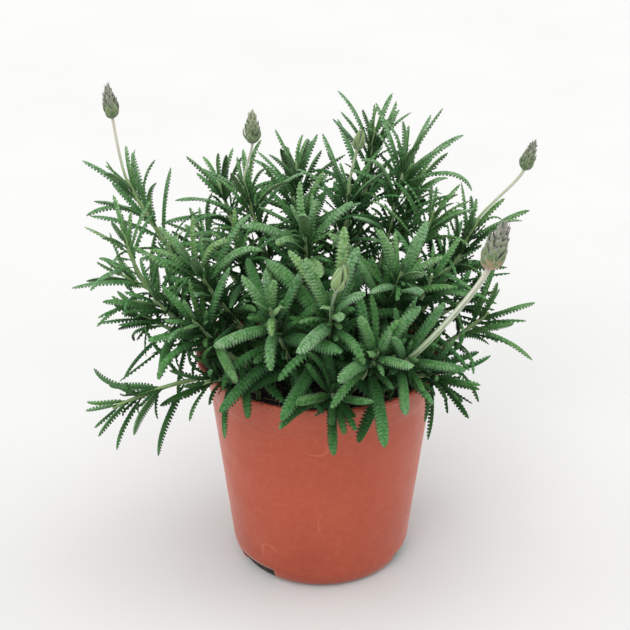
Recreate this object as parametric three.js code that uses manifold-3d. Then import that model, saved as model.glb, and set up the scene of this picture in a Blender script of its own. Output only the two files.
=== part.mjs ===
// A young toothed lavender in its plastic nursery pot: the pot, the potting mix, the leafy
// shoots that stand in it and their flower heads. Millimetres, +Z up, with the origin at the
// centre of the pot's underside and the front of the plant towards -Y.
import * as THREE from "three";
import { mergeVertices } from "three/addons/utils/BufferGeometryUtils.js";
import Module from "manifold-3d";

const wasm = await Module();
wasm.setup();

// Pot: a tapered wall, a flared band under the rim and a lip that stands proud of it
const POT_HEIGHT = 129;
const RIM_RADIUS = 70;
const LIP_HEIGHT = 3;
const LIP_STEP = 2.4;
const BAND_HEIGHT = 19;
const BAND_FOOT_RADIUS = 63;
const HEEL_RADIUS = 52;
const HEEL_HEIGHT = 15;
const BASE_RADIUS = 44;
const WALL = 1.5;
const FLOOR = 1.8;
const ROUND_SEGMENTS = 32;

// Drainage slots through the heel of the pot, spaced evenly round it
const SLOT_COUNT = 3;
const SLOT_MIDDLE_DEG = 222;
const SLOT_WIDTH_DEG = 32;
const SLOT_HEIGHT = 8.5;
const SLOT_INNER_RADIUS = 37;

// Potting mix, a little lower at the wall than in the middle
const SOIL_AT_WALL = 117;
const SOIL_MOUND = 3;
const SOIL_ROUGHNESS = 0.9;
const GAP = 0.35;

// Shoots: square stems that taper, sunk in plain holes in the mix
const BARE_STEPS = 3;
const NODE_HALF = 1.1;
const STEM_RADIUS = 1.6;
const STEM_TIP_RADIUS = 0.9;
const STALK_RADIUS = 1.1;
const STEM_DEPTH = 12;
const STEM_COLLAR = 2;
const STALK_STEPS = 3;
const STALK_EASE = 0.18; // the share of a stalk over which it bends at either end

// Leaves stand in opposite pairs, each pair a quarter turn from the last: how far below
// the tip each pair stands, and its leaves' length, angle to the stem, outward curve,
// droop and number of teeth along each edge
const PAIR_KINDS = [
  { below: 1.5, length: 17, angle: 13, arch: 8, droop: 0, teeth: 3 },
  { below: 5.5, length: 27, angle: 26, arch: 16, droop: 0.04, teeth: 3 },
  { below: 12, length: 36, angle: 42, arch: 20, droop: 0.1, teeth: 3 },
  { below: 21, length: 42, angle: 57, arch: 18, droop: 0.2, teeth: 4 },
  { below: 33, length: 44, angle: 70, arch: 16, droop: 0.32, teeth: 4 },
  { below: 47, length: 43, angle: 80, arch: 12, droop: 0.4, teeth: 4 },
];
const LOWEST_NODE = 0.12;
const LENGTH_SPREAD = 0.26;
const ANGLE_SPREAD_DEG = 16;
const TURN_SPREAD_DEG = 20;
const TWIST_SPREAD_DEG = 50;
const LEAF_WIDTH_LEAST = 2.4;
const LEAF_WIDTH_RATE = 0.1;
const LEAF_CREST_RATIO = 0.36;
const LEAF_CREST_LEAST = 0.8;
const LEAF_FOOT_SHARE = 0.22;
const LEAF_SHOULDER = 0.3;
const LEAF_TIP_START = 0.62;
const NOTCH_SHARE = 0.66;

// Room kept between a leaf and everything that isn't its own shoot
const PROBES = 10;
const PROBE_START = 1;
const OWN_PROBE_START = 2;
const PROBE_ROOM = 0.5;
const PROBE_LIFT = 0.4;
const OWN_ROOM_SHARE = 0.5;
const STEM_PROBE_STEP = 3;

// The bends that a leaf tries in turn until it is clear: turn about the stem, lean and
// share of its length
const BENDS = [
  [0, 0, 1], [18, 0, 1], [-18, 0, 1], [0, 14, 1], [0, -14, 1],
  [32, 6, 1], [-32, 6, 1], [24, -16, 0.9], [-24, -16, 0.9], [0, 24, 0.85],
  [36, 12, 0.8], [-36, 12, 0.8], [0, -26, 0.75], [30, 24, 0.65], [-30, 24, 0.65],
];

// Every shoot: where its stem leaves the mix (x, y), the height at which it bends, where it
// ends (x, y, z), how many pairs of leaves it bears and their size against the usual. Some
// also give how far out they bend, as a share of their reach, or how far their leaves stand
// from the stem, as a share of the usual angle. A flower gives the end of its stalk, the tip
// of its head, the head's greatest radius and its tiers of bracts.
const USUAL_BEND_SHARE = 0.55;
const USUAL_SPREAD = 1;
const SHOOTS = [
  { name: "left_flower", root: [-30, 4], elbow: 158, tip: [-104, 5, 228], pairs: 5, size: 0.95,
    spread: 0.5, flower: { stalk: [-110, 5, 264], top: [-112, 5, 284], radius: 4.4, tiers: 5 } },
  { name: "left_tuft", root: [-28, -12], elbow: 152, tip: [-104, -26, 211], pairs: 6, size: 0.85,
    bend: 0.85, spread: 0.8 },
  { name: "left_fan", root: [-17, -18], elbow: 158, tip: [-68, -45, 204], pairs: 6, size: 1.1,
    spread: 0.8 },
  { name: "back_flower", root: [-12, 12], elbow: 170, tip: [-42, 15, 222], pairs: 6, size: 1.05,
    spread: 0.7, flower: { stalk: [-37, 15, 246], top: [-37, 15, 266], radius: 4.6, tiers: 5 } },
  { name: "back_tuft", root: [-3, 22], elbow: 172, tip: [-14, 36, 226], pairs: 5, size: 0.9, spread: 0.7 },
  { name: "back_bud", root: [8, 8], elbow: 170, tip: [15, 10, 224], pairs: 6, size: 1.1, spread: 0.8,
    flower: { stalk: [19, 10, 244], top: [21, 10, 256], radius: 3.4, tiers: 3 } },
  { name: "crown_left", root: [12, 24], elbow: 180, tip: [29, 34, 247], pairs: 6, size: 0.98, spread: 0.55 },
  { name: "crown_right", root: [20, 8], elbow: 180, tip: [46, 12, 240], pairs: 6, size: 1.15, spread: 0.6 },
  { name: "right_tuft", root: [27, -4], elbow: 163, tip: [60, -4, 214], pairs: 6, size: 1, spread: 0.8 },
  { name: "right_flower", root: [34, 8], elbow: 148, tip: [85, 6, 205], pairs: 5, size: 1, spread: 0.55,
    flower: { stalk: [108, 2, 236], top: [113, 1, 254], radius: 4.2, tiers: 5 } },
  { name: "right_low", root: [42, -8], elbow: 136, tip: [90, -18, 160], pairs: 5, size: 1.1 },
  { name: "right_rim", root: [38, -20], elbow: 142, tip: [67, -46, 129], pairs: 4, size: 0.9 },
  { name: "front_flower", root: [26, -30], elbow: 146, tip: [44, -74, 162], pairs: 5, size: 1.1,
    flower: { stalk: [81, -90, 221.5], top: [88.5, -93, 250], radius: 6.4, tiers: 6 } },
  { name: "front_bud", root: [4, -28], elbow: 150, tip: [5, -78, 194], pairs: 6, size: 1.2,
    flower: { stalk: [7, -82, 205], top: [11, -85, 222], radius: 3.8, tiers: 3 } },
  { name: "front_rosette", root: [-9, -34], elbow: 150, tip: [-26, -72, 190], pairs: 5, size: 1.05 },
  { name: "left_rosette", root: [-26, -28], elbow: 146, tip: [-66, -58, 176], pairs: 5, size: 1 },
  { name: "right_inner", root: [30, -16], elbow: 152, tip: [58, -34, 190], pairs: 5, size: 1 },
  { name: "front_low", root: [4, -46], elbow: 142, tip: [6, -85, 146], pairs: 3, size: 1.05 },
  { name: "left_trail", root: [-38, -30], elbow: 142, tip: [-109, -62, 127], pairs: 5, size: 1,
    bend: 0.3, spread: 0.75 },
  { name: "left_mid", root: [-42, -6], elbow: 142, tip: [-100, -12, 156], pairs: 5, size: 1 },
  { name: "left_low", root: [-42, 12], elbow: 148, tip: [-112, 22, 164], pairs: 5, size: 0.95 },
  { name: "right_mid", root: [44, 12], elbow: 142, tip: [83, 18, 152], pairs: 4, size: 0.95 },
  { name: "centre_right", root: [16, -20], elbow: 158, tip: [42, -50, 202], pairs: 6, size: 1.05 },
  { name: "front_right", root: [14, -40], elbow: 146, tip: [28, -88, 174], pairs: 4, size: 1.1 },
  { name: "centre", root: [-4, -12], elbow: 170, tip: [-9, -30, 216], pairs: 6, size: 1.05 },
  { name: "centre_back", root: [-6, 4], elbow: 170, tip: [-10, 2, 210], pairs: 4, size: 1 },
  { name: "left_inner", root: [-20, -4], elbow: 158, tip: [-46, -16, 198], pairs: 4, size: 1 },
  { name: "left_side", root: [-36, -16], elbow: 148, tip: [-88, -38, 178], pairs: 4, size: 0.95 },
  { name: "left_rim", root: [-34, -38], elbow: 142, tip: [-62, -60, 140], pairs: 4, size: 0.9 },
  { name: "right_front", root: [38, -34], elbow: 143, tip: [60, -62, 144], pairs: 4, size: 0.9 },
  { name: "rear_left", root: [-24, 22], elbow: 160, tip: [-58, 52, 209], pairs: 5, size: 1.05 },
  { name: "rear_middle", root: [-6, 36], elbow: 158, tip: [-18, 84, 198], pairs: 5, size: 1.1 },
  { name: "rear_right", root: [26, 28], elbow: 160, tip: [54, 58, 207], pairs: 5, size: 1.05 },
  { name: "rear_low_left", root: [-30, 36], elbow: 148, tip: [-72, 80, 164], pairs: 5, size: 1 },
  { name: "rear_low_middle", root: [12, 46], elbow: 148, tip: [18, 98, 156], pairs: 5, size: 1.05 },
  { name: "rear_low_right", root: [40, 26], elbow: 146, tip: [80, 56, 158], pairs: 5, size: 1 },
];

// Flower heads: tiers of pointed bracts over a rounded foot, narrower in the upper half
const HEAD_BRACTS = 5;
const HEAD_FOOT = 0.34;
const HEAD_WIDTHS = [0.72, 1, 0.9, 0.66, 0.58, 0.4];
const BRACT_OUT = 1.12;
const BRACT_IN = 0.8;
const BRACT_RISE = 0.6;

const COLOURS = {
  pot: 0xb4553f,
  soil: 0x1d1712,
  foliage: 0x4c7a55,
  flower: 0x8d8c83,
};

const vec = (p) => new THREE.Vector3(p[0], p[1], p[2]);
const degrees = (a) => (a * Math.PI) / 180;
const lerp = (a, b, t) => a + (b - a) * t;
const UP = new THREE.Vector3(0, 0, 1);

// A seeded run of draws between 0 and 1, the same on every machine.
function drawsFrom(seed) {
  let state = (seed * 7919 + 104729) % 2147483647;
  return () => {
    state = (state * 16807) % 2147483647;
    return state / 2147483647;
  };
}

// A solid from a list of points and a list of triangles that face outwards.
function solidOf(points, triangles) {
  const geometry = new THREE.BufferGeometry().setFromPoints(points);
  geometry.setIndex(triangles.flat());
  return solidFrom(geometry);
}

function solidFrom(geometry) {
  const bare = geometry.clone();
  bare.deleteAttribute("normal");
  bare.deleteAttribute("uv");
  const merged = mergeVertices(bare, 1e-4);
  return new wasm.Manifold(
    new wasm.Mesh({
      numProp: 3,
      vertProperties: new Float32Array(merged.attributes.position.array),
      triVerts: new Uint32Array(merged.index.array),
    }),
  );
}

function geometryOf(solid) {
  const { vertProperties, triVerts } = solid.getMesh();
  const geometry = new THREE.BufferGeometry();
  geometry.setAttribute("position", new THREE.BufferAttribute(vertProperties, 3));
  geometry.setIndex(new THREE.BufferAttribute(triVerts, 1));
  geometry.computeVertexNormals();
  return geometry;
}

// A lathe turned about Z from a profile of [radius, height] points.
function turned(profile, segments = ROUND_SEGMENTS) {
  const points = profile.map(([r, z]) => new THREE.Vector2(r, z));
  return new THREE.LatheGeometry(points, segments).rotateX(Math.PI / 2);
}

// The pot's outside, from the middle of the underside up to the top of the lip.
function potOutside() {
  const heel = new THREE.QuadraticBezierCurve(
    new THREE.Vector2(BASE_RADIUS, 0),
    new THREE.Vector2(HEEL_RADIUS - 1, 0.5),
    new THREE.Vector2(HEEL_RADIUS, HEEL_HEIGHT),
  );
  const bandTop = POT_HEIGHT - LIP_HEIGHT;
  return [
    [0, 0],
    ...heel.getPoints(3).map((p) => [p.x, p.y]),
    [BAND_FOOT_RADIUS, POT_HEIGHT - BAND_HEIGHT],
    [RIM_RADIUS - LIP_STEP, bandTop],
    [RIM_RADIUS, POT_HEIGHT],
  ];
}

// The pot's inside, from the rim down to the middle of its floor, `inset` further in.
function potInside(inset) {
  const steps = WALL + inset;
  return [
    [RIM_RADIUS - LIP_STEP - steps + 1.2, POT_HEIGHT],
    [RIM_RADIUS - LIP_STEP - steps, POT_HEIGHT - LIP_HEIGHT],
    [BAND_FOOT_RADIUS - steps, POT_HEIGHT - BAND_HEIGHT],
    [HEEL_RADIUS - steps, HEEL_HEIGHT],
    [BASE_RADIUS + 2 - steps, FLOOR + inset],
    [0, FLOOR + inset],
  ];
}

function drainageSlot(middleDeg) {
  const half = degrees(SLOT_WIDTH_DEG / 2);
  const middle = degrees(middleDeg);
  const shape = new THREE.Shape();
  shape.absarc(0, 0, RIM_RADIUS, middle - half, middle + half, false);
  shape.absarc(0, 0, SLOT_INNER_RADIUS, middle + half, middle - half, true);
  const block = new THREE.ExtrudeGeometry(shape, {
    depth: SLOT_HEIGHT + 2,
    bevelEnabled: false,
    curveSegments: 3,
  });
  return solidFrom(block.translate(0, 0, -2));
}

function buildPot() {
  const pot = solidFrom(turned([...potOutside(), ...potInside(0)]));
  const slots = [];
  for (let i = 0; i < SLOT_COUNT; i++) {
    slots.push(drainageSlot(SLOT_MIDDLE_DEG + (i * 360) / SLOT_COUNT));
  }
  return pot.subtract(wasm.Manifold.union(slots));
}

// How far the mix stands above its level at the wall, at a point of its surface.
function soilRise(x, y) {
  const share = Math.min(1, Math.hypot(x, y) / BAND_FOOT_RADIUS);
  const lumps = Math.sin(x * 0.31 + 1.7) * Math.cos(y * 0.27) + Math.sin(x * 0.13 - y * 0.41);
  return SOIL_MOUND * (1 - share * share) + SOIL_ROUGHNESS * lumps * (1 - share);
}

function buildSoil(stems) {
  const wall = potInside(GAP).slice(2);
  const slope = (RIM_RADIUS - LIP_STEP - BAND_FOOT_RADIUS) / (BAND_HEIGHT - LIP_HEIGHT);
  const topRadius = wall[0][0] + slope * (SOIL_AT_WALL - wall[0][1]);
  const profile = [...wall].reverse();
  for (const share of [1, 0.66, 0.33, 0]) {
    profile.push([topRadius * share, SOIL_AT_WALL]);
  }
  const geometry = turned(profile);
  const place = geometry.getAttribute("position");
  for (let i = 0; i < place.count; i++) {
    if (place.getZ(i) > SOIL_AT_WALL - 0.01) {
      place.setZ(i, SOIL_AT_WALL + soilRise(place.getX(i), place.getY(i)));
    }
  }
  const holes = stems.map(stemHole);
  return solidFrom(geometry).subtract(wasm.Manifold.union(holes));
}

// The stem of a shoot: straight up through the mix, over to its tip in an upright plane,
// then along its stalk. Its rings are square, with their flat sides to the ways its leaves
// stand, and the rings of each node are just below and just above a pair of leaves.
function stemOf(shoot, index) {
  const next = drawsFrom(index + 1);
  const [rx, ry] = shoot.root;
  const tip = vec(shoot.tip);
  const start = new THREE.Vector3(rx, ry, SOIL_AT_WALL + SOIL_MOUND + STEM_COLLAR);
  const bend = shoot.bend ?? USUAL_BEND_SHARE;
  const elbow = new THREE.Vector3(lerp(rx, tip.x, bend), lerp(ry, tip.y, bend), shoot.elbow);
  const curve = new THREE.QuadraticBezierCurve3(start, elbow, tip);
  const length = curve.getLength();
  const tipRadius = shoot.flower ? STALK_RADIUS : STEM_TIP_RADIUS;
  const ringAt = (t) => ({
    point: curve.getPoint(t),
    along: curve.getTangent(t),
    radius: lerp(STEM_RADIUS, tipRadius, t),
  });

  const nodes = PAIR_KINDS.slice(0, shoot.pairs)
    .map((kind) => 1 - kind.below / length)
    .filter((t) => t > LOWEST_NODE);
  const lowest = nodes[nodes.length - 1] - NODE_HALF / length;
  const buried = new THREE.Vector3(rx, ry, SOIL_AT_WALL - STEM_DEPTH);
  const rings = [{ point: buried, along: UP, radius: STEM_RADIUS }];
  for (let i = 0; i < BARE_STEPS; i++) rings.push(ringAt((lowest * i) / BARE_STEPS));
  [...nodes].reverse().forEach((t) => {
    rings.push(ringAt(t - NODE_HALF / length), ringAt(t + NODE_HALF / length));
  });
  if (shoot.flower) {
    const top = vec(shoot.flower.stalk);
    const axis = vec(shoot.flower.top).sub(top).normalize();
    const reach = top.distanceTo(tip) * STALK_EASE;
    const leave = tip.clone().addScaledVector(curve.getTangent(1), reach);
    const stalk = new THREE.CubicBezierCurve3(tip, leave, top.clone().addScaledVector(axis, -reach), top);
    for (let i = 1; i <= STALK_STEPS; i++) {
      const t = i / STALK_STEPS;
      const radius = lerp(STALK_RADIUS, 0.9 + 0.08 * shoot.flower.radius, t);
      rings.push({ point: stalk.getPoint(t), along: i < STALK_STEPS ? stalk.getTangent(t) : axis, radius });
    }
  }

  const across = new THREE.Vector3(ry - tip.y, tip.x - rx, 0).normalize();
  return { curve, rings, nodes, across, next, turn: next() * 90 };
}

// The corners of a stem's rings, `room` further out than the stem itself.
function stemCorners(stem, rings, room = 0) {
  const side = stem.across.clone();
  return rings.flatMap(({ point, along, radius }) => {
    side.addScaledVector(along, -side.dot(along)).normalize();
    const up = along.clone().cross(side);
    return [0, 1, 2, 3].map((k) => {
      const a = degrees(stem.turn + 45 + 90 * k);
      const out = side.clone().multiplyScalar(Math.cos(a)).addScaledVector(up, Math.sin(a));
      return point.clone().addScaledVector(out, radius + room * Math.SQRT2);
    });
  });
}

// The plain hole in the mix that a stem stands in.
function stemHole(stem) {
  const [foot, collar] = stem.rings;
  const low = { ...foot, point: foot.point.clone().setZ(foot.point.z - GAP) };
  const high = { ...collar, along: UP, point: collar.point.clone().setZ(collar.point.z + 1) };
  return solidOf(stemCorners(stem, [low, high], GAP), ringTriangles(2, 4));
}

// The triangles of `count` rings of `sides` points each, closed at both ends, without the
// faces that `skip` names.
function ringTriangles(count, sides, skip = () => false) {
  const triangles = [];
  for (let i = 0; i < count - 1; i++) {
    for (let k = 0; k < sides; k++) {
      if (skip(i, k)) continue;
      const a = i * sides + k;
      const b = i * sides + ((k + 1) % sides);
      triangles.push([a, b, a + sides], [b, b + sides, a + sides]);
    }
  }
  const last = (count - 1) * sides;
  for (let k = 1; k < sides - 1; k++) {
    triangles.push([0, k + 1, k], [last, last + k, last + k + 1]);
  }
  return triangles;
}

// Half the width of a leaf at its widest, and at share s of its length against that.
function halfWidth(leaf) {
  return (LEAF_WIDTH_LEAST + leaf.length * LEAF_WIDTH_RATE) / 2;
}

function leafOutline(s) {
  if (s < LEAF_SHOULDER) return lerp(LEAF_FOOT_SHARE, 1, Math.sin((s / LEAF_SHOULDER) * (Math.PI / 2)));
  if (s < LEAF_TIP_START) return 1;
  return Math.sqrt(Math.max(0, 1 - ((s - LEAF_TIP_START) / (1 - LEAF_TIP_START)) ** 2));
}

// The line of a leaf's midrib: a place, a sideways and an upward direction at each step.
function leafSpine(leaf, steps) {
  const side = leaf.along.clone().cross(leaf.out).normalize();
  const places = [];
  const point = leaf.foot.clone();
  for (let i = 0; i <= steps; i++) {
    const s = i / steps;
    const angle = leaf.angle + leaf.arch * s;
    const heading = leaf.along.clone().multiplyScalar(Math.cos(angle));
    heading.addScaledVector(leaf.out, Math.sin(angle));
    heading.z -= leaf.droop * s;
    heading.normalize();
    const across = side.clone().applyAxisAngle(heading, leaf.twist * s);
    across.addScaledVector(heading, -across.dot(heading)).normalize();
    places.push({ point: point.clone(), across, up: heading.clone().cross(across) });
    point.addScaledVector(heading, leaf.length / steps);
  }
  return places;
}

// Adds a toothed blade to a shoot: a raised midrib over a flat underside, grown out of one
// face of a node, whose corners come as [lower right, lower left, upper left, upper right].
// Both edges run from a notch to the tip of a tooth at each step, and the midrib has a point
// at each notch.
function addLeaf(points, triangles, leaf, [lowRight, lowLeft, highLeft, highRight]) {
  const steps = 2 * leaf.teeth;
  const half = halfWidth(leaf);
  const crestHeight = Math.max(LEAF_CREST_LEAST, half * LEAF_CREST_RATIO);
  const crest = [];
  const left = [lowLeft];
  const right = [lowRight];
  const add = (point) => points.push(point) - 1;
  leafSpine(leaf, steps).forEach(({ point, across, up }, i) => {
    if (i === 0) return;
    if (i === steps) {
      crest[i] = add(point);
      return;
    }
    const isNotch = i % 2 === 0;
    const width = half * leafOutline(i / steps) * (isNotch ? NOTCH_SHARE : 1);
    if (isNotch) crest[i] = add(point.clone().addScaledVector(up, crestHeight));
    left[i] = add(point.clone().addScaledVector(across, width));
    right[i] = add(point.clone().addScaledVector(across, -width));
  });
  triangles.push([crest[2], highLeft, highRight]);
  for (let i = 0; i < steps; i += 2) {
    const [j, k] = [i + 1, i + 2];
    const ridgeLeft = i ? crest[i] : highLeft;
    const ridgeRight = i ? crest[i] : highRight;
    triangles.push([ridgeLeft, left[j], left[i]], [ridgeRight, right[i], right[j]]);
    triangles.push([ridgeLeft, crest[k], left[j]], [ridgeRight, right[j], crest[k]]);
    triangles.push([left[i], left[j], right[i]], [left[j], right[j], right[i]]);
    if (k < steps) {
      triangles.push([crest[k], left[k], left[j]], [crest[k], right[j], right[k]]);
      triangles.push([left[j], left[k], right[j]], [left[k], right[k], right[j]]);
    } else {
      triangles.push([left[j], crest[k], right[j]]);
    }
  }
}

// A whole shoot: its stem, its leaves and the stalk of its flower, in one closed surface.
function shootSolid(stem, leaves) {
  const points = stemCorners(stem, stem.rings);
  const ringOf = (leaf) => 1 + BARE_STEPS + 2 * (stem.nodes.length - 1 - leaf.pair);
  const leafAt = (i, k) => leaves.find((leaf) => ringOf(leaf) === i && leaf.face === k);
  const triangles = ringTriangles(stem.rings.length, 4, leafAt);
  for (const leaf of leaves) {
    const a = 4 * ringOf(leaf) + leaf.face;
    const b = 4 * ringOf(leaf) + ((leaf.face + 1) % 4);
    addLeaf(points, triangles, leaf, [a, b, b + 4, a + 4]);
  }
  return solidOf(points, triangles);
}

// Balls along a leaf, a stem or a head, which stand for the room that it takes.
function leafProbes(leaf) {
  const half = halfWidth(leaf);
  return leafSpine(leaf, PROBES).map(({ point, up }, i) => ({
    place: point.clone().addScaledVector(up, PROBE_LIFT),
    radius: half * leafOutline(i / PROBES) + PROBE_ROOM,
    step: i,
  }));
}

function stemProbes({ rings, nodes }) {
  const probes = [];
  const stalkStart = 1 + BARE_STEPS + 2 * nodes.length;
  for (let i = 1; i < rings.length; i++) {
    const [a, b] = [rings[i - 1], rings[i]];
    const count = Math.ceil(a.point.distanceTo(b.point) / STEM_PROBE_STEP);
    for (let k = 0; k < count; k++) {
      const t = k / count;
      const radius = lerp(a.radius, b.radius, t) + PROBE_ROOM;
      const step = i < stalkStart ? 0 : PROBES;
      probes.push({ place: a.point.clone().lerp(b.point, t), radius, step });
    }
  }
  return probes;
}

function headProbes(flower) {
  return [0.1, 0.35, 0.6, 0.85].map((t) => ({
    place: vec(flower.stalk).lerp(vec(flower.top), t),
    radius: flower.radius * (1.25 - 0.5 * t) + PROBE_ROOM,
    step: PROBES,
  }));
}

// True where a ball is clear of the mix and of the pot's wall.
function clearOfPot({ place, radius }) {
  const out = Math.hypot(place.x, place.y);
  const foot = place.z - radius;
  if (out < RIM_RADIUS - 7) return foot > SOIL_AT_WALL + SOIL_MOUND + 1.5;
  return foot > POT_HEIGHT + 0.5 || out - radius > RIM_RADIUS + 0.5;
}

// True where a leaf's balls meet neither the pot nor what already stands.
function clearOfAll(probes, shoot, taken) {
  return probes.slice(PROBE_START).every((p) => {
    if (!clearOfPot(p)) return false;
    return taken.every((q) => {
      const own = q.shoot === shoot;
      if (own && (p.step < OWN_PROBE_START || q.step < OWN_PROBE_START)) return true;
      const room = (p.radius + q.radius) * (own ? OWN_ROOM_SHARE : 1);
      return p.place.distanceToSquared(q.place) >= room * room;
    });
  });
}

// One leaf of a pair, on the first or the second side of its stem, bent by one of BENDS.
function leafOf(shoot, stem, pair, second, draw, [turn, lean, share]) {
  const kind = PAIR_KINDS[pair];
  const spread = shoot.spread ?? USUAL_SPREAD;
  const t = stem.nodes[pair];
  const along = stem.curve.getTangent(t);
  const way = stem.turn + pair * 90 + (second ? 180 : 0);
  const out = stem.across.clone().applyAxisAngle(along, degrees(way + draw.turn + turn));
  return {
    pair,
    face: (pair + (second ? 1 : 3)) % 4,
    foot: stem.curve.getPoint(t).addScaledVector(out, lerp(STEM_RADIUS, STEM_TIP_RADIUS, t) * 0.7),
    along,
    out,
    angle: degrees(kind.angle * spread + draw.angle + lean),
    arch: degrees(kind.arch),
    droop: kind.droop * spread,
    twist: degrees(draw.twist),
    length: kind.length * shoot.size * draw.length * share,
    teeth: kind.teeth,
  };
}

// Every leaf of every shoot, tips first, each bent clear of what already stands, or left
// out where no bend will do.
function growLeaves(stems) {
  const taken = [];
  SHOOTS.forEach(({ flower }, shoot) => {
    const probes = [...stemProbes(stems[shoot]), ...(flower ? headProbes(flower) : [])];
    probes.forEach((p) => taken.push({ ...p, shoot }));
  });
  const leaves = SHOOTS.map(() => []);
  PAIR_KINDS.forEach((_, pair) => {
    SHOOTS.forEach((shoot, i) => {
      if (pair >= stems[i].nodes.length) return;
      for (const second of [false, true]) {
        const { next } = stems[i];
        const draw = {
          turn: (next() - 0.5) * TURN_SPREAD_DEG,
          angle: (next() - 0.5) * ANGLE_SPREAD_DEG,
          twist: (next() - 0.5) * TWIST_SPREAD_DEG,
          length: 1 + (next() - 0.5) * LENGTH_SPREAD,
        };
        for (const bend of BENDS) {
          const leaf = leafOf(shoot, stems[i], pair, second, draw, bend);
          const probes = leafProbes(leaf);
          if (!clearOfAll(probes, i, taken)) continue;
          probes.forEach((p) => taken.push({ ...p, shoot: i }));
          leaves[i].push(leaf);
          break;
        }
      }
    });
  });
  return leaves;
}

// A flower head: tiers of pointed bracts, closed at the stalk and at the tip.
function headSolid(flower) {
  const foot = vec(flower.stalk);
  const axis = vec(flower.top).sub(foot);
  const height = axis.length();
  axis.normalize();
  foot.addScaledVector(axis, GAP);
  const side = new THREE.Vector3(0, 1, 0).cross(axis).normalize();
  const up = axis.clone().cross(side);
  const around = 2 * HEAD_BRACTS;
  const rings = [{ share: 0, tip: HEAD_FOOT, gap: HEAD_FOOT, rise: 0, offset: 0 }];
  for (let tier = 0; tier < flower.tiers; tier++) {
    const low = tier / flower.tiers;
    const width = HEAD_WIDTHS[Math.round(low * HEAD_WIDTHS.length)];
    const offset = tier % 2;
    const thick = 0.82 / flower.tiers;
    rings.push({ share: low * 0.82 + 0.06, tip: width * 0.86, gap: width * 0.76, rise: 0, offset });
    rings.push({ share: low * 0.82 + 0.04 + thick, tip: width * BRACT_OUT, gap: width * BRACT_IN,
      rise: BRACT_RISE * thick, offset });
  }
  rings.push({ share: 0.95, tip: 0.12, gap: 0.12, rise: 0, offset: 0 });
  const points = [];
  for (const ring of rings) {
    for (let k = 0; k < around; k++) {
      const isTip = (k + ring.offset) % 2 === 0;
      const a = (k * Math.PI) / HEAD_BRACTS;
      const out = side.clone().multiplyScalar(Math.cos(a)).addScaledVector(up, Math.sin(a));
      const place = foot.clone().addScaledVector(axis, height * (ring.share + (isTip ? ring.rise : 0)));
      points.push(place.addScaledVector(out, flower.radius * (isTip ? ring.tip : ring.gap)));
    }
  }
  return solidOf(points, ringTriangles(rings.length, around));
}

function meshOf(name, solid, colour, roughness) {
  const material = new THREE.MeshStandardMaterial({ color: colour, roughness, metalness: 0 });
  const mesh = new THREE.Mesh(geometryOf(solid), material);
  mesh.name = name;
  return mesh;
}

const stems = SHOOTS.map(stemOf);
const leaves = growLeaves(stems);
const plant = new THREE.Group();
plant.add(meshOf("pot", buildPot(), COLOURS.pot, 0.55));
plant.add(meshOf("soil", buildSoil(stems), COLOURS.soil, 0.95));
SHOOTS.forEach((shoot, i) => {
  const solid = shootSolid(stems[i], leaves[i]);
  plant.add(meshOf(`shoot_${shoot.name}`, solid, COLOURS.foliage, 0.8));
  if (shoot.flower) {
    plant.add(meshOf(`head_${shoot.name}`, headSolid(shoot.flower), COLOURS.flower, 0.85));
  }
});

export default plant;
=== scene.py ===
"""A young toothed lavender in its plastic nursery pot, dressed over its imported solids.

The shoots grow by the same rule as the solids, so each fine shoot stands where its solid does.
Tables are in millimetres and degrees, and meshes are turned into metres where they are made.
"""
import functools
import math

import bpy
import numpy as np
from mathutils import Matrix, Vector, noise


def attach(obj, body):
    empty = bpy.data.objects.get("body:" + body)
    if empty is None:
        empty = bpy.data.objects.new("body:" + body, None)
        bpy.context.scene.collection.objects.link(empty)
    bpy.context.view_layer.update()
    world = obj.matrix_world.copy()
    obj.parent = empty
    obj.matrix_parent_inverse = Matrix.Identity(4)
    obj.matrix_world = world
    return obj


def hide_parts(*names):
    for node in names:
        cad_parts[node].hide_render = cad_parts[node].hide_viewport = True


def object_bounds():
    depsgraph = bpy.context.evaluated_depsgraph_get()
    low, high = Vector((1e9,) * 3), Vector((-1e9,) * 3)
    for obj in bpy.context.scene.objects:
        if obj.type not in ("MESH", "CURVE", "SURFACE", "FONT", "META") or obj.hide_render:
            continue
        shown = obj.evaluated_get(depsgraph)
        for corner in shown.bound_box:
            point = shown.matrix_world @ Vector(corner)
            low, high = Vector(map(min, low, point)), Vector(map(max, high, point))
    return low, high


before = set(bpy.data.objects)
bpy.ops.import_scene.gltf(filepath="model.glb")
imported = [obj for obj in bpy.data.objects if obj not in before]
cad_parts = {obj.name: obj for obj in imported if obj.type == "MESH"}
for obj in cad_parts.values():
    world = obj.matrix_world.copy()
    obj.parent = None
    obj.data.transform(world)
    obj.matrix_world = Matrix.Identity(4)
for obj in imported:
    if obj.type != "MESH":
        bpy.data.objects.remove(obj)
cad_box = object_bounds()

MM = 0.001
BOX = np.array([list(corner) for corner in cad_box]) / MM
RIGHT = np.array([1.0, 0.0, 0.0])
BACK = np.array([0.0, 1.0, 0.0])
UP = np.array([0.0, 0.0, 1.0])

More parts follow.
